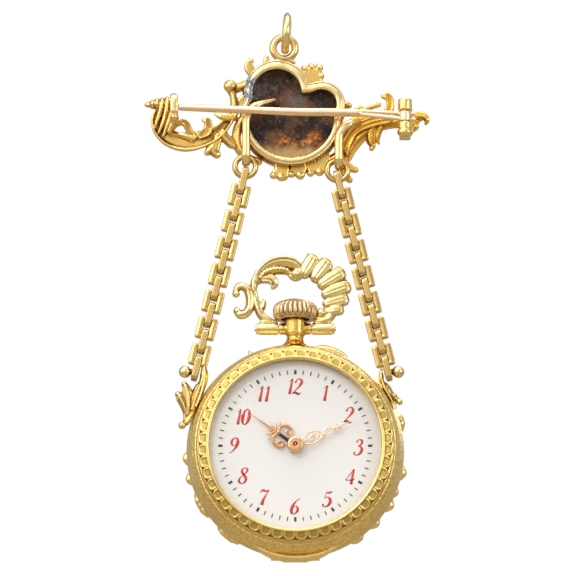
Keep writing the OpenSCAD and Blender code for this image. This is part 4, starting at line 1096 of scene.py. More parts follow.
def chainShell(side):
    c, s = chains, chains[side]
    x, z = s["ring"]
    rings = [tubeShell(ringRows(x, watch["plane"], z, c["ringRadius"], c["ringWire"]), 20, 4, closed=True)]
    turn = turnMatrix((0, 1, 0), s["lean"])
    lean = math.cos(math.radians(s["lean"]))
    top = (z - c["ringRadius"] + c["ringWire"] + 2.5 * c["play"] - s["first"][1]) / lean + c["narrowBar"]
    links = [moved(wideLink(), (0, 0, -i * s["pitch"])) for i in range(c["count"])]
    links += [moved(narrowLink(), (0, 0, -(i - 0.5) * s["pitch"])) for i in range(1, c["count"] + 1)]
    links.append(moved(narrowLink(top - 0.5 * s["pitch"] - c["narrow"][1] / 2), (0, 0, 0.5 * s["pitch"])))
    place = (s["first"][0], watch["plane"], s["first"][1])
    # painted shade: the bars between the rails are darkened, as they lie in shadow
    between = 1 - smoothStep(np.abs(wideLink()[0][:, 0]), 0.34, 0.58)      # the bars, which lie in shadow
    paintedBarShade = np.concatenate([np.zeros(len(rings[0][0]))] + [between] * c["count"]
                             + [np.zeros(len(link[0])) for link in links[c["count"]:]])
    return joined(rings + [moved(link, place, turn) for link in links]), dict(paintedBarShade=paintedBarShade)


# chain gold with painted shade on the wide links' bars
shadedChain = tintedGold("shadedChain", "chainGold", "paintedBarShade", (0.12, 0.055, 0.01, 1))
for side in ("left", "right"):
    shell, fields = chainShell(side)
    writePiece("chain" + side.capitalize(), shell, shadedChain, "brooch", ["chain_" + side],
               rounds=4, reach=0.12, extras=fields)
print("scene: chains done")

# Watch case: the band, its rolled edges, the pendant, the bow's rods, the pusher's ridge and the hinge lip

case = dict(
    # radius and height from the dial's plane, and how far each corner is softened
    outside=[(10.9, -5.0, 0.2), (13.85, -5.0, 0.2), (14.12, -4.75, 0.06), (14.12, -4.55, 0.06),
             (14.3, -4.35, 0.15), (14.33, -3.9, 0.3), (14.2, -3.2, 0.5), (14.0, -2.3, 0.5),
             (13.78, -1.25, 0.2), (13.55, -0.75, 0.08), (13.42, -0.6, 0.06), (13.2, 0.0, 0.15),
             (12.6, 0.02, 0.2), (11.4, 0.0, 0.1)],
    inside=[(11.4, -0.5), (10.95, -0.55), (10.95, -2.5), (10.95, -4.3), (6.0, -4.38), (1.0, -4.4),
            (1.0, -5.0), (6.0, -5.0)],
    pendant=[(0, -31.9, 0), (2.5, -31.9, 0.2), (2.45, -31.5, 0.2), (1.95, -31.0, 0.4), (1.4, -30.6, 0.3),
             (1.12, -30.1, 0.3), (1.1, -29.62, 0.12), (1.32, -29.42, 0.1), (1.34, -29.1, 0.2),
             (1.34, -27.25, 0.12), (1.24, -26.98, 0.1), (0, -26.95, 0)])


def caseShell():
    # bowl of the case as one closed profile of radius and height, hollow behind the dial
    return onDial(revolved(np.concatenate([softProfile(case["outside"]), case["inside"]]), 224, ring=True))


def onBowAxis(shell):
    # a turned piece laid along X through the bow's axis
    return layAlongX(shell, watch["x"], watch["plane"], watch["pendant"])


def lyingRod(low, high, radius, soft=0.1):
    # turned rod on the bow's axis
    return onBowAxis(revolved(softened([(0, low), (radius, low), (radius, high), (0, high)], soft,
                                       closed=False), 40))


def rimSweep(rows, sides=22, wide=1.0):
    # scroll laid round the case: rows of angle clockwise from twelve, radius, height, half width
    p = spline(rows, 10)
    x, z = roundDial(p[:, 0], p[:, 1])
    return tubeShell(np.stack([x, -p[:, 2], z, p[:, 3]], -1)[::3], sides, 4, wide)


hingeLip = [(152, 13.5, -2.35, 0.3), (158, 14.0, -2.45, 0.34), (166, 14.3, -2.6, 0.36),
            (178, 14.4, -2.7, 0.38), (190, 14.3, -2.6, 0.36), (200, 14.0, -2.45, 0.34),
            (206, 13.5, -2.35, 0.3)]
hingeHood = [(158, 13.65, -3.75, 0.14), (163, 13.9, -3.8, 0.27), (170, 14.05, -3.85, 0.36),
             (180, 14.08, -3.85, 0.37), (190, 14.05, -3.85, 0.36), (197, 13.9, -3.8, 0.27),
             (202, 13.65, -3.75, 0.14)]


def hingeLipShells():
    # lip and crescent hood over the back's hinge, with a small volute and a leaf at each end
    parts = [rimSweep(hingeLip), rimSweep(hingeHood, 26, 2.15)]
    for side in (-1, 1):
        a = 180 - side * 26
        parts.append(rimSweep([(a + side * 3, 13.8, -2.2, 0.3), (a, 13.35, -1.75, 0.36),
                               (a - side * 3.2, 12.95, -1.4, 0.34), (a - side * 5, 13.2, -1.3, 0.24)]))
        parts.append(rimSweep([(a + side * 1, 13.9, -2.5, 0.3), (a - side * 3, 13.75, -2.2, 0.3),
                               (a - side * 6, 13.7, -1.9, 0.18)]))
        x, z = roundDial(a - side * 4, 13.0)
        parts.append(ballShell((x, 1.35, z), (0.42, 0.4, 0.42)))
    return parts


pusherRidge = [(11.5, 13.75, -2.6, 0.3), (14, 13.95, -2.9, 0.5), (18, 14.05, -3.0, 0.62),
               (24, 14.05, -3.0, 0.62), (27.5, 13.95, -2.9, 0.5), (30, 13.75, -2.6, 0.3)]


coverHinge = dict(height=-4.7, radius=14.15)      # its axis: height from the dial, distance below its centre


def coverKnuckle(x, wide, radius, hole=0.0):
    # one knuckle of the back's hinge, lying along X
    low, high = x - wide / 2, x + wide / 2
    profile = softened([(hole, low), (radius, low), (radius, high), (hole, high)], 0.06, closed=hole > 0)
    return layAlongX(revolved(profile, 32, ring=hole > 0), watch["x"], -coverHinge["height"],
                     watch["z"] - coverHinge["radius"])


writePiece("caseBand", caseShell(), gold["satinCase"], "watch", ["watch_case"], reach=0.05)
lipShell = fused(hingeLipShells() + [rimSweep(pusherRidge, 26)], 0.1, 3)
writePiece("caseRidges", lipShell, gold["polishedCase"], "watch", ["watch_case"])
pendantParts = [standing(softProfile(case["pendant"], closed=False), watch["x"], watch["plane"], 72),
                lyingRod(-2.15, 2.15, 0.76, 0.12)]
writePiece("pendant", fused(pendantParts, 0.1, 5), gold["warmCase"], "watch",
           ["watch_case"])
rodParts = [lyingRod(-5.15, 5.15, 0.42)]
for side in (-1, 1):      # a stepped button on each end
    rodParts.append(lyingRod(*sorted((side * 4.9, side * 5.18)), 0.7, 0.09))
    rodParts.append(lyingRod(*sorted((side * 5.1, side * 5.36)), 0.34, 0.12))
writePiece("bowRods", joined(rodParts), gold["lugGold"], "watch", ["watch_case"])
knuckles = [coverKnuckle(side * 2.5, 1.4, 0.34) for side in (-1, 1)] + [coverKnuckle(0, 6.4, 0.2)]
writePiece("caseKnuckles", joined(knuckles), gold["polishedCase"], "watch", ["watch_case"])

# Bezel: a polished lip, a ring of scallops in raised outline, and a plain rim

bezel = dict(
    scallops=48, columns=15, points=72, tongueIn=11.8, tongueOut=12.78, middle=12.3, bend=0.52,
    line=0.075, inset=0.03, groove=0.18,
    # radius, height and softening of each corner of the section
    section=[(11.35, 0.08, 0.04), (13.1, 0.06, 0.12), (13.0, 0.45, 0.2), (12.8, 0.8, 0.2),
             (12.62, 1.12, 0.16), (12.0, 1.36, 0.2), (11.84, 1.4, 0.05), (11.78, 1.52, 0.05),
             (11.6, 1.6, 0.12), (11.35, 1.5, 0.1)])


def scallopHeight(angle, r):
    # a U shaped tongue: raised outline near its edge, an inset inside, and a groove between tongues
    b = bezel
    turn = angle / (2 * np.pi) * b["scallops"]
    pitch = 2 * np.pi * b["middle"] / b["scallops"]
    u = (turn - np.floor(turn) - 0.5) * pitch
    v = r - b["tongueIn"]
    long = b["tongueOut"] - b["tongueIn"]
    beyond = np.maximum(np.abs(u) - (pitch / 2 - 0.06 - b["bend"]), 0)
    edge = b["bend"] - np.hypot(beyond, np.maximum(v - (long - b["bend"]), 0))      # distance inside
    line = np.exp(-((edge - 0.12) / 0.095) ** 2)
    inset = smoothStep(edge, 0.16, 0.26)
    groove = (1 - smoothStep(edge, -0.04, 0.07)) * smoothStep(v, 0.3 * long, 0.75 * long)
    height = b["line"] * line - b["inset"] * inset - b["groove"] * groove
    return height * smoothStep(v, -0.02, 0.12), inset


def makeBezel():
    # the section in even steps, turned round the dial, each point lifted along its normal by the scallops
    b = bezel
    base = softProfile(b["section"], 3)
    loop = np.concatenate([base, base[:1]])
    length = runLength(loop)
    at = np.linspace(0, length[-1], b["points"], endpoint=False)
    p = np.stack([np.interp(at, length, loop[:, 0]), np.interp(at, length, loop[:, 1])], -1)
    tangent = unit(np.roll(p, -1, 0) - np.roll(p, 1, 0))
    normal = np.stack([tangent[:, 1], -tangent[:, 0]], -1)
    a = np.linspace(0, 2 * np.pi, b["scallops"] * b["columns"], endpoint=False)[None, :]
    h, inset = scallopHeight(a, p[:, :1] + 0 * a)
    front = ((p[:, 1] > 0.75) & (p[:, 0] > 11.76))[:, None]      # the sloping front alone carries them
    h, inset = h * front, inset * front
    r = p[:, :1] + normal[:, :1] * h
    z = p[:, 1:] + normal[:, 1:] * h
    shell = onDial(shellFromGrid(np.stack([r * np.sin(a), r * np.cos(a), z], -1), loop=True))
    return shell, dict(inset=0.8 * inset.ravel())


shell, fields = makeBezel()
scalloped = tintedGold("scallopedBezel", "warmCase", "inset", (0.42, 0.31, 0.09, 1), 0.18, Rough=0.25,
                       gold=(0.80, 0.55, 0.17))
writePiece("bezelRing", shell, scalloped, "watch", ["bezel"], reach=0.05, rounds=6,
           extras=fields)

# Crystal and dial

glass = dict(radius=11.3, sag=1.2, front=2.3, back=1.95, seat=0.78)
dome = (glass["radius"] ** 2 + glass["sag"] ** 2) / (2 * glass["sag"])
r = np.linspace(0.2, glass["radius"], 40)
rise = np.sqrt(dome ** 2 - r ** 2) - dome
top = np.stack([r, glass["front"] + rise], -1)
under = np.stack([r, np.maximum(glass["back"] + rise, glass["seat"])], -1)[::-1]
writePiece("crystal", onDial(revolved(np.concatenate([top, under]), 160)), crystalGlass, "watch",
           ["crystal"])
dialProfile = [(0.55, 0.0), (1.2, 0.0), (4, 0.0), (8, 0.0), (10.6, -0.005), (11.2, -0.03), (11.38, -0.12),
               (11.38, -0.42), (8, -0.44), (0.55, -0.44)]
writePiece("dialPlate", onDial(revolved(dialProfile, 200, ring=True)), dialEnamel, "watch",
           ["dial"])


def onDialFlat(x, z, low, high):
    # eight corners of thin blocks whose four outline points are given as arrays
    v = np.stack([np.concatenate([x, x], 1), np.concatenate([0 * x + low, 0 * x + high], 1),
                  np.concatenate([z, z], 1)], -1)
    block = np.array([[0, 1, 2, 3], [7, 6, 5, 4], [0, 4, 5, 1], [1, 5, 6, 2], [2, 6, 7, 3], [3, 7, 4, 0]])
    quads = (block[None] + np.arange(len(x))[:, None, None] * 8).reshape(-1, 4)
    return v.reshape(-1, 3), quads, np.zeros((0, 3), int)


track = dict(radius=9.82, minute=(0.068, 0.275), five=(0.16, 0.29), face=-0.004, lift=-0.03)


def minuteTrack():
    # sixty strokes: each stands along its radius, and every fifth is a thick block
    t = track
    k = np.arange(60)
    a = np.radians(k * 6)[:, None]
    five = (k % 5 == 0)[:, None]
    half = np.where(five, t["five"][0], t["minute"][0])
    tall = np.where(five, t["five"][1], t["minute"][1])
    across = np.array([[-1, 1, 1, -1]]) * half
    along = np.array([[-1, -1, 1, 1]]) * tall + t["radius"]
    x = watch["x"] + across * np.cos(a) + along * np.sin(a)
    z = watch["z"] - across * np.sin(a) + along * np.cos(a)
    v, q, tri = onDialFlat(x, z, t["lift"], t["face"])
    parts = [turnedOut(v[i * 8:i * 8 + 8], q[:6], tri) for i in range(60)]
    return joined(parts)


marks = minuteTrack()
writePiece("minuteTrack", marks, blackPaint, "watch", ["dial"], flat=True,
           extras=dict(low=np.zeros(len(marks[0]))))

# Numerals: each figure is a few pen strokes of x, height and half width in a box one unit high

figures = {
    "1": [[(0.10, 0.80, 0.012), (0.20, 0.90, 0.018), (0.27, 0.99, 0.03)],
          [(0.28, 0.99, 0.045), (0.28, 0.70, 0.05), (0.28, 0.35, 0.06), (0.28, 0.02, 0.072)]],
    "2": [[(0.13, 0.72, 0.05), (0.10, 0.80, 0.045), (0.17, 0.93, 0.028), (0.32, 0.99, 0.03),
           (0.47, 0.88, 0.06), (0.48, 0.70, 0.07), (0.36, 0.48, 0.045), (0.18, 0.24, 0.022),
           (0.05, 0.05, 0.02)],
          [(0.05, 0.05, 0.024), (0.16, 0.12, 0.045), (0.32, 0.08, 0.06), (0.46, 0.02, 0.045),
           (0.57, 0.14, 0.014)]],
    "3": [[(0.13, 0.80, 0.048), (0.13, 0.90, 0.03), (0.28, 0.99, 0.026), (0.45, 0.88, 0.06),
           (0.42, 0.68, 0.045), (0.26, 0.56, 0.018)],
          [(0.26, 0.56, 0.018), (0.46, 0.50, 0.045), (0.54, 0.30, 0.075), (0.44, 0.08, 0.05),
           (0.24, 0.00, 0.022), (0.08, 0.09, 0.028), (0.11, 0.20, 0.048)]],
    "4": [[(0.44, 0.99, 0.022), (0.30, 0.72, 0.024), (0.03, 0.30, 0.020)],
          [(0.03, 0.30, 0.022), (0.30, 0.29, 0.026), (0.52, 0.30, 0.028), (0.62, 0.40, 0.014)],
          [(0.45, 0.97, 0.045), (0.44, 0.60, 0.055), (0.44, 0.30, 0.06), (0.44, 0.02, 0.07)]],
    "5": [[(0.16, 0.93, 0.018), (0.13, 0.74, 0.018), (0.10, 0.55, 0.018)],
          [(0.16, 0.93, 0.022), (0.28, 0.89, 0.045), (0.42, 0.91, 0.045), (0.54, 1.00, 0.014)],
          [(0.10, 0.55, 0.016), (0.26, 0.62, 0.026), (0.45, 0.52, 0.06), (0.52, 0.30, 0.078),
           (0.42, 0.08, 0.05), (0.22, 0.00, 0.022), (0.08, 0.08, 0.028), (0.11, 0.19, 0.048)]],
    "6": [[(0.52, 0.97, 0.016), (0.34, 0.86, 0.026), (0.15, 0.58, 0.058), (0.09, 0.30, 0.075),
           (0.16, 0.07, 0.05), (0.30, 0.00, 0.022), (0.45, 0.10, 0.045), (0.50, 0.27, 0.06),
           (0.43, 0.44, 0.04), (0.29, 0.50, 0.018), (0.14, 0.36, 0.018)]],
    "7": [[(0.07, 0.78, 0.016), (0.10, 0.92, 0.035), (0.24, 0.95, 0.06), (0.40, 0.89, 0.04),
           (0.58, 0.98, 0.018)],
          [(0.58, 0.98, 0.02), (0.46, 0.68, 0.03), (0.33, 0.36, 0.06), (0.29, 0.03, 0.082)]],
    "8": [[(0.32, 0.55, 0.065), (0.17, 0.72, 0.058), (0.15, 0.88, 0.045), (0.30, 1.00, 0.02),
           (0.46, 0.93, 0.04), (0.48, 0.78, 0.045), (0.36, 0.62, 0.024), (0.16, 0.44, 0.024),
           (0.07, 0.24, 0.05), (0.13, 0.08, 0.045), (0.30, 0.00, 0.02), (0.48, 0.12, 0.05),
           (0.49, 0.34, 0.068), (0.32, 0.55, 0.065)]],
    "9": [[(0.08, 0.03, 0.016), (0.26, 0.14, 0.026), (0.45, 0.42, 0.058), (0.51, 0.70, 0.075),
           (0.44, 0.93, 0.05), (0.30, 1.00, 0.022), (0.15, 0.90, 0.045), (0.10, 0.73, 0.06),
           (0.17, 0.56, 0.04), (0.31, 0.50, 0.018), (0.46, 0.64, 0.018)]],
    "0": [[(0.30, 1.00, 0.02), (0.15, 0.84, 0.055), (0.09, 0.50, 0.082), (0.15, 0.16, 0.055),
           (0.30, 0.00, 0.02), (0.45, 0.16, 0.055), (0.51, 0.50, 0.082), (0.45, 0.84, 0.055),
           (0.30, 1.00, 0.02)]]}

numerals = dict(
    size=2.1, slant=0.2, squeeze=0.96, face=-0.006, thick=0.02, weight=1.38,
    places={"12": (0.2, -36.95), "1": (4.35, -37.85), "2": (7.35, -40.75), "3": (8.6, -45.05),
            "4": (7.5, -49.0), "5": (4.5, -51.95), "6": (0.3, -52.9), "7": (-3.9, -51.75),
            "8": (-6.5, -48.85), "9": (-7.75, -44.85), "10": (-6.6, -41.0), "11": (-3.9, -37.95)},
    advance={"1": 0.42, "2": 0.6, "0": 0.6})


def figureShells(text, x, z):
    # pen strokes swept as flat ribbons, slanted to the right, centred on the figure's place
    n = numerals
    widths = [n["advance"].get(c, 0.6) if len(text) > 1 else 0.6 for c in text]
    shells, left = [], -sum(widths) / 2
    for c, wide in zip(text, widths):
        for stroke in figures[c]:
            s = np.array(stroke)
            px = (s[:, 0] + left) * n["squeeze"] + (s[:, 1] - 0.5) * n["slant"]
            rows = np.stack([x + px * n["size"], z + (s[:, 1] - 0.5) * n["size"],
                             s[:, 2] * n["size"] * n["weight"]], -1)
            shells.append(inkRibbon(rows))
        left += wide
    return shells


def inkRibbon(rows):
    # a flat closed ribbon of changing half width, a hair proud of the enamel
    p = spline(rows, 8)
    tangent = unit(np.gradient(p[:, :2], axis=0))
    normal = np.stack([-tangent[:, 1], tangent[:, 0]], -1)
    across = np.array([-1, -0.92, 0, 0.92, 1, 0])[None, :]
    lift = np.array([0, 1, 1, 1, 0, -1])[None, :] * numerals["thick"] * -0.5 + numerals["face"]
    x = p[:, :1] + normal[:, :1] * across * p[:, 2:]
    z = p[:, 1:2] + normal[:, 1:] * across * p[:, 2:]
    return shellFromGrid(np.stack([x, lift + 0 * x, z], -1))


numeralShells, low = [], []
for text, (x, z) in numerals["places"].items():
    shells = figureShells(text, x, z)
    numeralShells += shells
    for s in shells:
        low.append(smoothStep(-(s[0][:, 2] - z) / numerals["size"], 0.12, 0.5))
writePiece("numerals", joined(numeralShells), redPaint, "watch", ["dial"],
           extras=dict(low=np.concatenate(low)))
print("scene: dial done")

# Hands: flat scrolled blades with rounded faces, the hour hand under the minute hand

hands = dict(hour=305.5, minute=67.0, hourLevel=0.42, minuteLevel=0.78, thick=0.11)


def blade(rows, level):
    # a narrow scroll of x, y, half width on the dial's own plane
    v, q, t = scrollShell(rows, y=0, depth=hands["thick"], sides=14)
    return np.stack([v[:, 0], v[:, 2], level - v[:, 1]], -1), q[:, ::-1], t[:, ::-1]


def mirrored(rows):
    # the same scroll on the other side of the hand
    return [(-x, z, w) for x, z, w in rows]


hourScrolls = [
    [(0.1, 2.75, 0.13), (0.5, 3.0, 0.16), (1.0, 2.95, 0.19), (1.42, 2.55, 0.2), (1.48, 2.0, 0.2),
     (1.3, 1.5, 0.19), (0.9, 1.35, 0.17), (0.65, 1.65, 0.15), (0.75, 2.0, 0.16), (1.0, 2.05, 0.19)],
    [(0.15, 2.9, 0.12), (0.6, 2.95, 0.15), (1.0, 3.15, 0.13), (1.35, 3.5, 0.06)],
    [(0.1, 3.1, 0.14), (0.35, 3.4, 0.13), (0.7, 3.7, 0.1), (1.0, 4.0, 0.05)],
    [(0.05, 3.5, 0.12), (0.28, 3.85, 0.09), (0.38, 4.25, 0.04)],
    [(0.1, 1.05, 0.12), (0.45, 1.1, 0.12), (0.8, 1.3, 0.12)]]
hourSpine = [(0, 0.6, 0.34), (0, 1.05, 0.24), (0, 1.9, 0.23), (0, 2.8, 0.23), (0, 3.4, 0.2), (0, 3.9, 0.16),
             (0, 4.3, 0.13), (0, 5.5, 0.1), (0, 7.2, 0.035)]
minuteScrolls = [
    [(0.05, 1.0, 0.085), (0.45, 1.3, 0.085), (0.72, 1.9, 0.09), (0.75, 2.6, 0.09), (0.55, 3.3, 0.085),
     (0.2, 3.75, 0.08), (0.03, 3.85, 0.075)],
    [(0.03, 3.85, 0.075), (0.3, 4.15, 0.08), (0.38, 4.6, 0.08), (0.28, 5.05, 0.075), (0.03, 5.35, 0.07)],
    [(0.03, 1.9, 0.06), (0.25, 2.3, 0.07), (0.33, 2.75, 0.07), (0.18, 3.15, 0.06), (0.08, 2.85, 0.05)],
    [(0.02, 3.3, 0.06), (0.2, 3.45, 0.05), (0.3, 3.6, 0.04)],
    [(0.03, 5.5, 0.08), (0.3, 5.7, 0.08), (0.42, 6.0, 0.06), (0.3, 6.3, 0.04)],
    [(0.03, 5.9, 0.07), (0.2, 6.2, 0.06), (0.25, 6.5, 0.04)]]
minuteSpine = [(0, 5.2, 0.1), (0, 5.9, 0.12), (0, 6.5, 0.1), (0, 7.2, 0.06), (0, 8.4, 0.05), (0, 9.5, 0.025)]


def handShell(scrolls, spine, level, extra, weight=1.0):
    # a spine with pairs of scrolls, whose widths may be weighted, melted with what else the hand has
    parts = [blade(spine, level)]
    for scroll in scrolls:
        rows = [(x, z, w * weight) for x, z, w in scroll]
        parts += [blade(rows, level), blade(mirrored(rows), level)]
    return fused(parts + extra, 0.045, 3)


def hubShell():
    # the thick round boss with a bright rim and a small pin at its centre
    profile = [(0.02, 0.45, 0), (0.75, 0.45, 0.1), (1.02, 0.6, 0.15), (1.05, 1.3, 0.14), (0.9, 1.45, 0.1),
               (0.32, 1.47, 0.04), (0.26, 1.34, 0.03), (0.17, 1.34, 0.03), (0.14, 1.45, 0.03),
               (0.02, 1.46, 0)]
    return revolved(softProfile(profile, closed=False), 56)


ringBoss = revolved(softened([(0.5, 0.30), (0.95, 0.30), (0.95, 0.53), (0.5, 0.53)], 0.05), 48, ring=True)
hourBlade = handShell(hourScrolls, hourSpine, hands["hourLevel"], [ringBoss])
across, along = np.abs(hourBlade[0][:, 0]), hourBlade[0][:, 1]
# the base of the hour hand darkened: its dark engraving, and painted shade over it
darkAndShade = (1 - smoothStep(across, 0.3, 0.42)) * (1 - smoothStep(along, 2.3, 2.9)) * smoothStep(along, 0.7, 1.0)
copperHand = tintedGold("copperHand", "copperGold", "darkAndShade", (0.075, 0.05, 0.05, 1))
writePiece("hourHand", onDial(hourBlade, hands["hour"]), copperHand, "hour_body", ["hour_hand"],
           extras=dict(darkAndShade=darkAndShade))
root = [blade([(0, 0.5, 0.2), (0, 1.1, 0.12), (0, 2.0, 0.055)], hands["minuteLevel"]),
        blade([(0, 3.05, 0.06), (0, 3.9, 0.06)], hands["minuteLevel"])]
minuteBlade = onDial(handShell(minuteScrolls, minuteSpine, hands["minuteLevel"], root, 1.2), hands["minute"])
writePiece("minuteHand", minuteBlade, gold["handGold"], "minute_body", ["minute_hand"])
arbor = revolved([(0, -1.2), (0.3, -1.2), (0.42, -1.1), (0.42, 0.5), (0, 0.5)], 32)
hub = joined([hubShell(), arbor])
across = np.hypot(hub[0][:, 0], hub[0][:, 1])
# painted shade: a dark ring in the groove round the pin
darkAndShade = smoothStep(across, 0.13, 0.17) * (1 - smoothStep(across, 0.27, 0.33)) * (hub[0][:, 2] > 1.2)
writePiece("handHub", onDial(hub), copperHand, "minute_body", ["minute_hand"],
           extras=dict(darkAndShade=darkAndShade))

# Crown: rounded ribs round a domed top, a smooth skirt and its stem

crown = dict(
    ribs=26, columns=11, depth=0.24, sharp=0.75, low=-26.75, top=-24.65,
    # radius, height and softening of each corner
    profile=[(0.5, -26.75, 0.1), (1.9, -26.75, 0.1), (1.9, -27.45, 0.08), (2.5, -27.5, 0.15),
             (2.72, -27.3, 0.15), (2.93, -26.95, 0.2), (2.99, -26.4, 0.3), (2.91, -25.75, 0.3),
             (2.55, -25.3, 0.3), (2.1, -25.08, 0.1), (1.4, -24.85, 0.2), (0.7, -24.7, 0.2),
             (0.5, -24.66, 0.05)],
    stem=[(0, -28.0), (0.46, -28.0), (0.51, -27.9), (0.51, -26.7), (0, -26.7)])


def crownShell():
    # turned profile whose side swells into rounded ribs between its skirt and its dome
    c = crown
    profile = np.concatenate([[(0.02, c["low"])], softProfile(c["profile"], closed=False),
                              [(0.02, c["top"])]])
    a = np.linspace(0, 2 * np.pi, c["ribs"] * c["columns"], endpoint=False)[None, :]
    r, z = profile[:, :1], profile[:, 1:]
    rib = np.abs(np.sin(c["ribs"] * a / 2)) ** c["sharp"]
    weight = smoothStep(z, -27.3, -26.9) * (1 - smoothStep(z, -25.45, -25.12)) * (r > 2.2)
    k = r - c["depth"] * weight * (1 - rib)
    v, q, t = shellFromGrid(np.stack([k * np.cos(a), k * np.sin(a), z + 0 * a], -1))
    return v + [watch["x"], watch["plane"], 0], q, t


stemRod = standing(crown["stem"], watch["x"], watch["plane"], 32)
writePiece("windingCrown", joined([crownShell(), stemRod]), gold["crownGold"], "crown_body",
           ["crown"], reach=0.08)

# Bow: two tubes on the rods, and the openwork scroll that joins them

bowTube = dict(inner=2.25, outer=4.85, bore=0.49, radius=0.8)
tubes = []
for side in (-1, 1):
    low, high = sorted((side * bowTube["inner"], side * bowTube["outer"]))
    profile = softened([(bowTube["bore"], low), (bowTube["radius"], low), (bowTube["radius"], high),
                        (bowTube["bore"], high)], 0.09)
    tubes.append(onBowAxis(revolved(profile, 44, ring=True)))
writePiece("bowTubes", joined(tubes), gold["lugGold"], "bow_body", ["bow_tubes"])

bow = dict(
    crook=[(-4.95, -24.2, 0.44), (-5.2, -23.1, 0.5), (-4.85, -21.95, 0.6), (-4.05, -20.85, 0.72),
           (-2.8, -20.0, 0.82), (-1.3, -19.7, 0.82), (0.0, -19.95, 0.78), (0.75, -20.6, 0.7),
           (0.7, -21.2, 0.6)],
    crookRidge=[(-5.15, -23.6, 0.14), (-5.3, -22.6, 0.17), (-4.9, -21.4, 0.2), (-4.1, -20.3, 0.22),
                (-2.9, -19.45, 0.24), (-1.3, -19.1, 0.22), (0.1, -19.35, 0.2), (1.05, -20.05, 0.16)],
    volute=[(0.75, -20.1, 0.5), (1.1, -20.8, 0.5), (0.95, -21.5, 0.5), (0.3, -21.85, 0.46),
            (-0.3, -21.5, 0.4), (-0.1, -21.0, 0.3)],
    innerLeaf=[(-4.5, -22.3, 0.4), (-3.9, -21.85, 0.56), (-3.1, -21.75, 0.62), (-2.5, -22.1, 0.55),
               (-2.3, -22.7, 0.44), (-2.65, -23.1, 0.3)],
    underLeaf=[(-3.9, -21.5, 0.5), (-3.1, -20.95, 0.6), (-2.0, -20.75, 0.62), (-1.0, -20.85, 0.56),
               (-0.4, -21.2, 0.42)],
    scrollOut=[(-7.55, -23.65, 0.42), (-7.25, -23.05, 0.5), (-6.6, -22.95, 0.58), (-5.95, -23.4, 0.62),
               (-5.65, -24.3, 0.64), (-5.6, -25.2, 0.64), (-5.8, -26.05, 0.62), (-6.35, -26.65, 0.6),
               (-7.0, -26.75, 0.58), (-7.35, -26.4, 0.46)],
    footLeft=[(-4.95, -24.0, 0.42), (-4.85, -25.0, 0.5), (-4.55, -26.0, 0.58), (-4.05, -26.95, 0.6),
              (-3.1, -27.55, 0.48), (-2.3, -27.7, 0.3)],
    footLeaf=[(-4.4, -26.2, 0.5), (-4.05, -25.6, 0.5), (-3.85, -25.0, 0.34)],
    shellBack=[(1.0, -21.1, 0.7), (2.1, -20.75, 0.95), (3.6, -21.35, 1.05), (4.9, -22.3, 1.1),
               (5.45, -23.6, 1.1), (5.4, -25.0, 1.0), (5.1, -26.3, 0.8), (4.8, -27.2, 0.56),
               (3.9, -27.6, 0.5), (3.0, -27.7, 0.36)],
    lobes=[((1.55, -21.2), (2.45, -19.65), 1.0), ((3.0, -21.8), (4.2, -20.2), 0.98),
           ((3.9, -22.7), (5.95, -21.4), 0.98), ((4.4, -24.0), (6.7, -23.15), 0.95),
           ((4.5, -25.3), (6.5, -24.75), 0.88), ((4.5, -26.3), (6.0, -26.15), 0.68)],
    heel=[(4.6, -26.9, 0.4), (3.9, -27.2, 0.42), (3.1, -27.2, 0.34), (2.8, -26.8, 0.22)],
    crookBeads=[(-4.4, -22.0, 0.8), (-3.75, -21.15, 1), (-2.7, -20.75, 1.1), (-1.6, -20.65, 1.1),
                (-0.6, -20.9, 0.9)],
    leafBeads=[(-4.1, -22.35, 0.8), (-3.3, -22.3, 1), (-2.8, -22.6, 0.9)],
    foot=[(2.8, -27.75, 0.3), (3.6, -27.7, 0.34), (4.4, -27.72, 0.3)], clear=0.81)


def leafShells(base, tip, half, y, depth):
    # a veined leaf from its base to its tip, and the two points that it ends in
    out = unit(np.array(tip) - base)
    side = np.array([-out[1], out[0]])
    base, tip = np.array(base), np.array(tip) + out * 0.12
    shells = [scrollShell([(*base, half * 0.75), (*(base + tip) / 2, half), (*tip, half * 0.98)],
                          y=y, depth=depth, sides=56, form=veinedForm(4, 0.06, 0.16))]
    for k, reach in ((-1, 0.7), (1, 1.0)):
        corner = tip + side * half * 0.62 * k
        end = corner + (out + side * 0.45 * k) * half * reach * 0.55
        shells.append(scrollShell([(*(corner - out * half * 0.5), half * 0.36), (*corner, half * 0.36),
                                   (*end, half * 0.2)], y=y, depth=0.88, sides=24))
    return shells


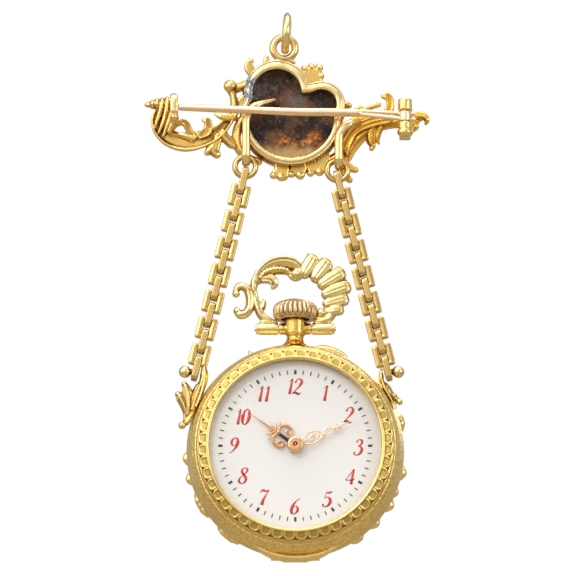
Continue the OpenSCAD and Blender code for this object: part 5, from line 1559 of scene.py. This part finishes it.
def bowScroll():
    # crook, volutes, beads and lapping leaves in one skin, which is then pushed clear of the rods
    y, w = watch["plane"], bow
    parts = [scrollShell(w["crook"], y=y, depth=0.8, sides=44, steps=10, form=flutedForm(7, 0.09)),
             scrollShell(w["volute"], y=y, depth=0.9, form=flutedForm(4, 0.1)),
             ballShell((0.35, y, -21.3), (0.72, 1.0, 0.68)),
             scrollShell(w["innerLeaf"], y=y, depth=0.75, sides=36, form=flutedForm(5, 0.13)),
             scrollShell(w["underLeaf"], y=y, depth=0.7, form=flutedForm(5, 0.12)),
             scrollShell(w["scrollOut"], y=y, depth=0.8, sides=40, steps=10, form=flutedForm(5, 0.06)),
             ballShell((-7.5, y, -23.95), (0.52, 0.75, 0.5)),
             ballShell((-7.35, y, -26.25), (0.54, 0.78, 0.54)),
             scrollShell(w["footLeft"], y=y, depth=0.8, form=flutedForm(5, 0.12)),
             scrollShell(w["footLeaf"], y=y, depth=0.75, form=flutedForm(5, 0.14)),
             scrollShell(w["shellBack"], y=y, depth=0.66, sides=36),
             ballShell((3.65, y - 0.1, -26.55), (0.7, 0.85, 0.66)),
             scrollShell(w["heel"], y=y, depth=0.6)]
    for level in (y - 0.6, y + 0.6):
        parts.append(scrollShell(w["crookRidge"], y=level, depth=0.34))
    for i, (base, tip, half) in enumerate(w["lobes"]):
        parts += leafShells(base, tip, half, y, 0.9 + 0.06 * (i % 2))
    for level in (y - 0.74, y + 0.74):
        parts += beadRow(w["crookBeads"], level, 0.44, 0.24)
        parts += beadRow(w["leafBeads"], level, 0.36, 0.18)
    v, q, t = fused(parts, 0.084, 2)
    fromAxis = np.stack([0 * v[:, 0], v[:, 1] - y, v[:, 2] - watch["pendant"]], -1)
    seat = np.hypot(fromAxis[:, 1], fromAxis[:, 2])[:, None]
    return v + fromAxis / np.maximum(seat, 0.05) * np.maximum(w["clear"] - seat, 0), q, t


feet = []
for side in (-1, 1):
    rows = [(watch["x"] + side * x, z, half) for x, z, half in bow["foot"]]
    feet.append(scrollShell(rows, y=watch["plane"], depth=0.45))
writePiece("bowScroll", bowScroll(), gold["bowGold"], "bow_body", ["bow"])
writePiece("bowFeet", joined(feet), gold["bowGold"], "bow_body", ["bow"])
print("scene: bow done")

# Lugs: cast scrolls that hold the pins of the last links

lugs = dict(
    leftArm=[(-11.7, -33.95, 0.4), (-11.68, -34.7, 0.56), (-11.75, -35.5, 0.58), (-11.95, -36.1, 0.62),
             (-12.35, -36.8, 0.78), (-12.65, -37.8, 0.78), (-13.0, -39.0, 0.6), (-13.4, -40.2, 0.46),
             (-14.0, -41.2, 0.42)],
    leftRidges=[[(-11.65, -35.6, 0.12), (-11.9, -36.8, 0.16), (-12.3, -38.0, 0.15), (-12.75, -39.2, 0.13)],
                [(-12.1, -36.1, 0.12), (-12.55, -37.2, 0.15), (-12.95, -38.4, 0.14), (-13.35, -39.6, 0.12)]],
    leafA=[(-14.2, -36.2, 0.45), (-13.95, -36.95, 0.72), (-13.8, -37.9, 0.7), (-13.72, -38.9, 0.55),
           (-13.85, -40.2, 0.42)],
    leafB=[(-15.0, -37.5, 0.45), (-14.8, -38.0, 0.62), (-14.45, -38.9, 0.5), (-14.15, -40.0, 0.38),
           (-14.2, -40.9, 0.3)],
    rightArm=[(11.62, -34.2, 0.26), (11.6, -34.9, 0.36), (11.72, -35.9, 0.42), (12.38, -36.6, 0.55),
              (12.96, -37.5, 0.45), (13.93, -38.4, 0.42)],
    rightBase=[(12.1, -36.6, 0.6), (12.6, -37.6, 0.52), (13.05, -38.5, 0.42), (13.4, -39.2, 0.28)],
    rightRidge=[(11.7, -35.6, 0.12), (12.1, -36.7, 0.15), (12.65, -37.7, 0.15), (13.15, -38.7, 0.12)],
    beads=dict(left=[(-14.6, -41.6, 0.5), (-14.3, -36.1, 0.42), (-15.15, -37.45, 0.42)],
               right=[(14.05, -38.45, 0.42), (13.45, -37.55, 0.3)]))


def lugShell(side):
    # arm, ridges, leaves and balls of one lug, pushed out of the case where they reach into it
    y, w = watch["plane"], lugs
    if side == "left":
        parts = [scrollShell(w["leftArm"], y=y, depth=0.85, sides=36, form=flutedForm(7, 0.12))]
        parts += [scrollShell(rows, y=y - 0.75, depth=0.3) for rows in w["leftRidges"]]
        parts += [scrollShell(rows, y=y, depth=0.75, sides=36, form=flutedForm(6, 0.13))
                  for rows in (w["leafA"], w["leafB"])]
    else:
        parts = [scrollShell(w["rightArm"], y=y, depth=0.85, sides=36, form=flutedForm(6, 0.18)),
                 scrollShell(w["rightBase"], y=y, depth=0.8, sides=36, form=flutedForm(5, 0.18)),
                 scrollShell(w["rightRidge"], y=y - 0.7, depth=0.3)]
    parts += [ballShell((x, y, z), (r, 0.66, r)) for x, z, r in w["beads"][side]]
    v, q, t = fused(parts, 0.085, 2)
    out = np.stack([v[:, 0] - watch["x"], 0 * v[:, 1], v[:, 2] - watch["z"]], -1)
    edge = np.hypot(out[:, 0], out[:, 2])
    limit = 13.35 + 0.9 * smoothStep(v[:, 1], 0.6, 2.6)      # the case widens from its front to its back
    push = np.minimum(np.maximum(limit - edge, 0) * (v[:, 1] < 6), 0.35)
    return v + out / edge[:, None] * push[:, None], q, t


lugPin = dict(z=-34.41, ball=0.82, ballAt=1.4, rod=[(0.4, 0.7), (0.4, 0.2), (0.4, -0.35), (0.36, -0.42)],
              left=(-12.82, -1), right=(12.45, 1))      # where it holds the link, and which way is outward


def lugPinShell(side):
    # rod through the last link with a ball on its outer end
    x, outward = lugPin[side]
    a = np.linspace(0.1, np.pi * 0.86, 14)
    ball = np.stack([lugPin["ball"] * np.sin(a), lugPin["ballAt"] + lugPin["ball"] * np.cos(a)], -1)
    v, q, t = revolved(np.concatenate([ball, lugPin["rod"]]), 36)
    v = np.stack([x + outward * v[:, 2], v[:, 1] + watch["plane"], v[:, 0] + lugPin["z"]], -1)
    return turnedOut(v, q, t)


for side in ("left", "right"):
    writePiece("lug" + side.capitalize(), lugShell(side), gold["lugGold"], "watch",
               ["lug_" + side])
    writePiece("lugPin" + side.capitalize(), lugPinShell(side), gold["lugGold"], "watch",
               ["lug_pin_" + side], reach=0.15)
print("scene: lugs done")

# Back cover: a shallow dome with a lip at six, its knuckle, and the applied scroll border

cover = dict(front=-5.25, rim=0.75, sag=1.6, radius=14.05, wall=0.5, domeEdge=13.6, lip=13.5)


def coverShell():
    # dome of the back as one closed profile, hollow inside
    c = cover
    back = c["front"] - c["rim"] - c["sag"]
    dome = (c["radius"] ** 2 + c["sag"] ** 2) / (2 * c["sag"])
    r = np.linspace(0.1, c["domeEdge"], 40)
    outer = np.stack([r, back + dome - np.sqrt(dome ** 2 - r ** 2)], -1)
    inner = outer[:36] * [0.985, 1] + [0, c["wall"]]
    rim = softProfile([(c["domeEdge"], outer[-1, 1], 0.1), (c["radius"], c["front"] - c["rim"] + 0.02, 0.25),
                       (c["radius"], c["front"], 0.12), (c["lip"], c["front"], 0.1)], closed=False)
    return onDial(revolved(np.concatenate([outer[:-1], rim, [(c["lip"], c["front"] - 0.4)], inner[::-1]]),
                           220))


# the web and the tab between the cover and its knuckle, each from a lower to an upper height
webX = np.array([[-1.3, 1.9, 1.9, -1.3]])
web = onDialFlat(webX, np.array([[-59.36, -59.36, -58.0, -58.0]]), 5.25, 5.85)
tab = onDialFlat(webX, np.array([[-59.36, -59.36, -58.64, -58.64]]), 5.02, 5.4)
backParts = [coverShell(), coverKnuckle(0, 3.2, 0.44, 0.31), turnedOut(*web), turnedOut(*tab)]
writePiece("backCover", joined(backParts), gold["satinCase"], "cover_body", ["back_cover"],
           reach=0.05)

backBorder = dict(
    ring=12.7, height=6.62, twist=36, strand=0.3, count=72, leafY=6.45, root=13.0,
    # two angles clockwise from twelve, and how far the leaf between them reaches
    leaves=[(-88, -96, 14.85), (-99.5, -107, 14.8), (-110.5, -127, 14.65), (-132.5, -149, 14.5),
            (95.5, 104, 14.9), (109.5, 112.5, 14.55), (114.5, 123, 14.75), (127, 135.5, 14.55),
            (139, 149, 14.45), (66, 77.5, 15.15), (20, 28, 14.2), (44, 52, 14.3), (-44, -52, 14.3),
            (-66, -74, 14.4)],
    spur=dict(angle=[-22.0, -22.8, -23.4, -23.6], reach=[13.0, 13.9, 14.7, 15.25],
              half=[0.75, 0.7, 0.42, 0.14]))


def borderScroll():
    # a roped ring from which wide serrated leaves curl out round the case
    b = backBorder
    parts = []
    a = np.linspace(0, 2 * np.pi, b["count"] + 1)[:-1]
    for k in (0, 1):      # two strands, half a turn apart
        angle = a + k * np.pi / 72
        turn = angle * b["twist"] + k * np.pi
        x, z = roundDial(np.degrees(angle), b["ring"] + 0.22 * np.cos(turn))
        rows = np.stack([x, b["height"] + 0.16 * np.sin(turn), z, np.full(b["count"], b["strand"])], -1)
        parts.append(tubeShell(rows, 12, 3, closed=True))
    for begin, end, reach in b["leaves"]:
        half = (reach - b["root"]) / 2
        inset = math.copysign(min(2.6, abs(end - begin) * 0.35), end - begin)
        x, z = roundDial(np.linspace(begin + inset, end - inset, 5), reach - half)
        rows = np.stack([x, z, half * np.array([0.8, 1, 1, 1, 0.8])], -1)
        parts.append(scrollShell(rows, y=b["leafY"], depth=0.5, sides=28, steps=5, form=flutedForm(5, 0.14)))
        count = max(1, round(abs(end - begin) / 6.5))
        for angle in np.linspace(begin + inset, end - inset, count + 2)[1:-1]:
            x, z = roundDial(angle, reach - 0.82)
            parts.append(ballShell((x, 6.35, z), (0.86, 0.58, 0.86), 10, 14))
    x, z = roundDial(np.array(b["spur"]["angle"]), np.array(b["spur"]["reach"]))
    parts.append(scrollShell(np.stack([x, z, b["spur"]["half"]], -1), y=6.4, depth=0.5, sides=28,
                             form=flutedForm(5, 0.18)))
    return fused(parts, 0.125, 2)


writePiece("backBorder", borderScroll(), gold["castGold"], "cover_body", ["back_border"])
print("scene: back done")

# Studio: pale floor far below, white surroundings, and the camera

table = dict(level=-0.42, radius=4, sides=96)      # a round floor, in metres
floorMesh = bpy.data.meshes.new("floor")
a = np.linspace(0, 2 * np.pi, table["sides"] + 1)[:-1]
floorRing = np.stack([np.cos(a), np.sin(a), 0 * a], -1) * table["radius"] + [0, 0, table["level"]]
floorMesh.from_pydata(floorRing, [], [list(range(table["sides"]))])
floorMesh.materials.append(floorMaterial())
floor = bpy.data.objects.new("floor", floorMesh)
bpy.context.scene.collection.objects.link(floor)

studio = dict(
    cameraDistance=1.6, elevation=-11.5, targetX=-0.66, targetZ=-23.72, frameWidth=75.8, ambient=0.58,
    cards=[
        # direction, cosines where the card begins and is full, brightness that it adds
        ((0.0, -0.45, 1.0), 0.70, 0.86, 0.95),
        ((-1.0, -0.75, 0.35), 0.80, 0.90, 1.1),
        ((1.0, -0.9, 0.0), 0.88, 0.95, 0.62),
        ((0.0, -1.0, 0.05), 0.92, 0.985, 0.42),
        ((0.35, -0.7, 0.45), 0.955, 0.98, -0.38),
        ((-0.45, -1.0, -0.35), 0.96, 0.985, -0.32),
        ((0.0, -0.15, -1.0), 0.50, 0.85, -0.20),
        ((0.0, 1.0, 0.1), 0.2, 0.8, -0.1)],
    lights=[
        # name, place in metres from the jewel, size, watts, colour
        ("keyLight", (-0.45, -1.2, 0.6), (0.36, 0.36), 4.2, (1.0, 0.98, 0.94)),
        ("fillLight", (0.9, -0.8, 0.15), (0.3, 0.5), 1.6, (0.96, 0.98, 1.0)),
        ("topLight", (0.05, -0.15, 1.0), (0.5, 0.3), 2.3, (1, 1, 1)),
        ("rearLight", (0.3, 1.1, 0.5), (0.5, 0.5), 1.9, (1, 1, 1))])
centre = Vector((studio["targetX"] * mm, 0, studio["targetZ"] * mm))


def aimed(obj, place, target):
    # turns an object so that its -Z points from its place to the target
    obj.location = place
    obj.rotation_euler = (target - Vector(place)).to_track_quat("-Z", "Y").to_euler()
    bpy.context.scene.collection.objects.link(obj)


camera = bpy.data.cameras.new("camera")
camera.sensor_width = 36
camera.lens = 36 * studio["cameraDistance"] / (studio["frameWidth"] * mm)
camera.clip_start = 0.01
eyeObject = bpy.data.objects.new("camera", camera)
e = math.radians(studio["elevation"])
reach = studio["cameraDistance"]
aimed(eyeObject, centre + Vector((0, -reach * math.cos(e), reach * math.sin(e))), centre)
bpy.context.scene.camera = eyeObject

for name, place, size, watts, colour in studio["lights"]:
    light = bpy.data.lights.new(name, "AREA")
    light.shape = "RECTANGLE"
    light.size, light.size_y = size
    light.energy = watts
    light.color = colour
    aimed(bpy.data.objects.new(name, light), centre + Vector(place), centre)


def studioWorld():
    # white to the camera; reflections see a grey room with bright and dark cards hung in it
    world = bpy.data.worlds.new("studio")
    world.use_nodes = True
    tree = world.node_tree
    tree.nodes.clear()
    direction = tree.nodes.new("ShaderNodeTexCoord").outputs["Generated"]
    level = studio["ambient"]
    for towards, begin, full, amount in studio["cards"]:
        dot = tree.nodes.new("ShaderNodeVectorMath")
        dot.operation = "DOT_PRODUCT"
        tree.links.new(direction, dot.inputs[0])
        dot.inputs[1].default_value = Vector(towards).normalized()
        card = mathNode(tree, "MULTIPLY", ramp(tree, dot.outputs["Value"], begin, full), amount)
        level = mathNode(tree, "ADD", level, card)
    felt = tree.nodes.new("ShaderNodeBackground")
    felt.inputs["Color"].default_value = (1.0, 0.985, 0.96, 1)
    tree.links.new(mathNode(tree, "MAXIMUM", level, 0.04), felt.inputs["Strength"])
    seen = tree.nodes.new("ShaderNodeBackground")
    seen.inputs["Color"].default_value = (1, 1, 1, 1)
    path = tree.nodes.new("ShaderNodeLightPath")
    mix = tree.nodes.new("ShaderNodeMixShader")
    tree.links.new(path.outputs["Is Camera Ray"], mix.inputs[0])
    tree.links.new(felt.outputs[0], mix.inputs[1])
    tree.links.new(seen.outputs[0], mix.inputs[2])
    tree.links.new(mix.outputs[0], tree.nodes.new("ShaderNodeOutputWorld").inputs["Surface"])
    bpy.context.scene.world = world


studioWorld()
view = bpy.context.scene.view_settings
view.view_transform = "Standard"
view.look = "None"

print("scene: studio done")
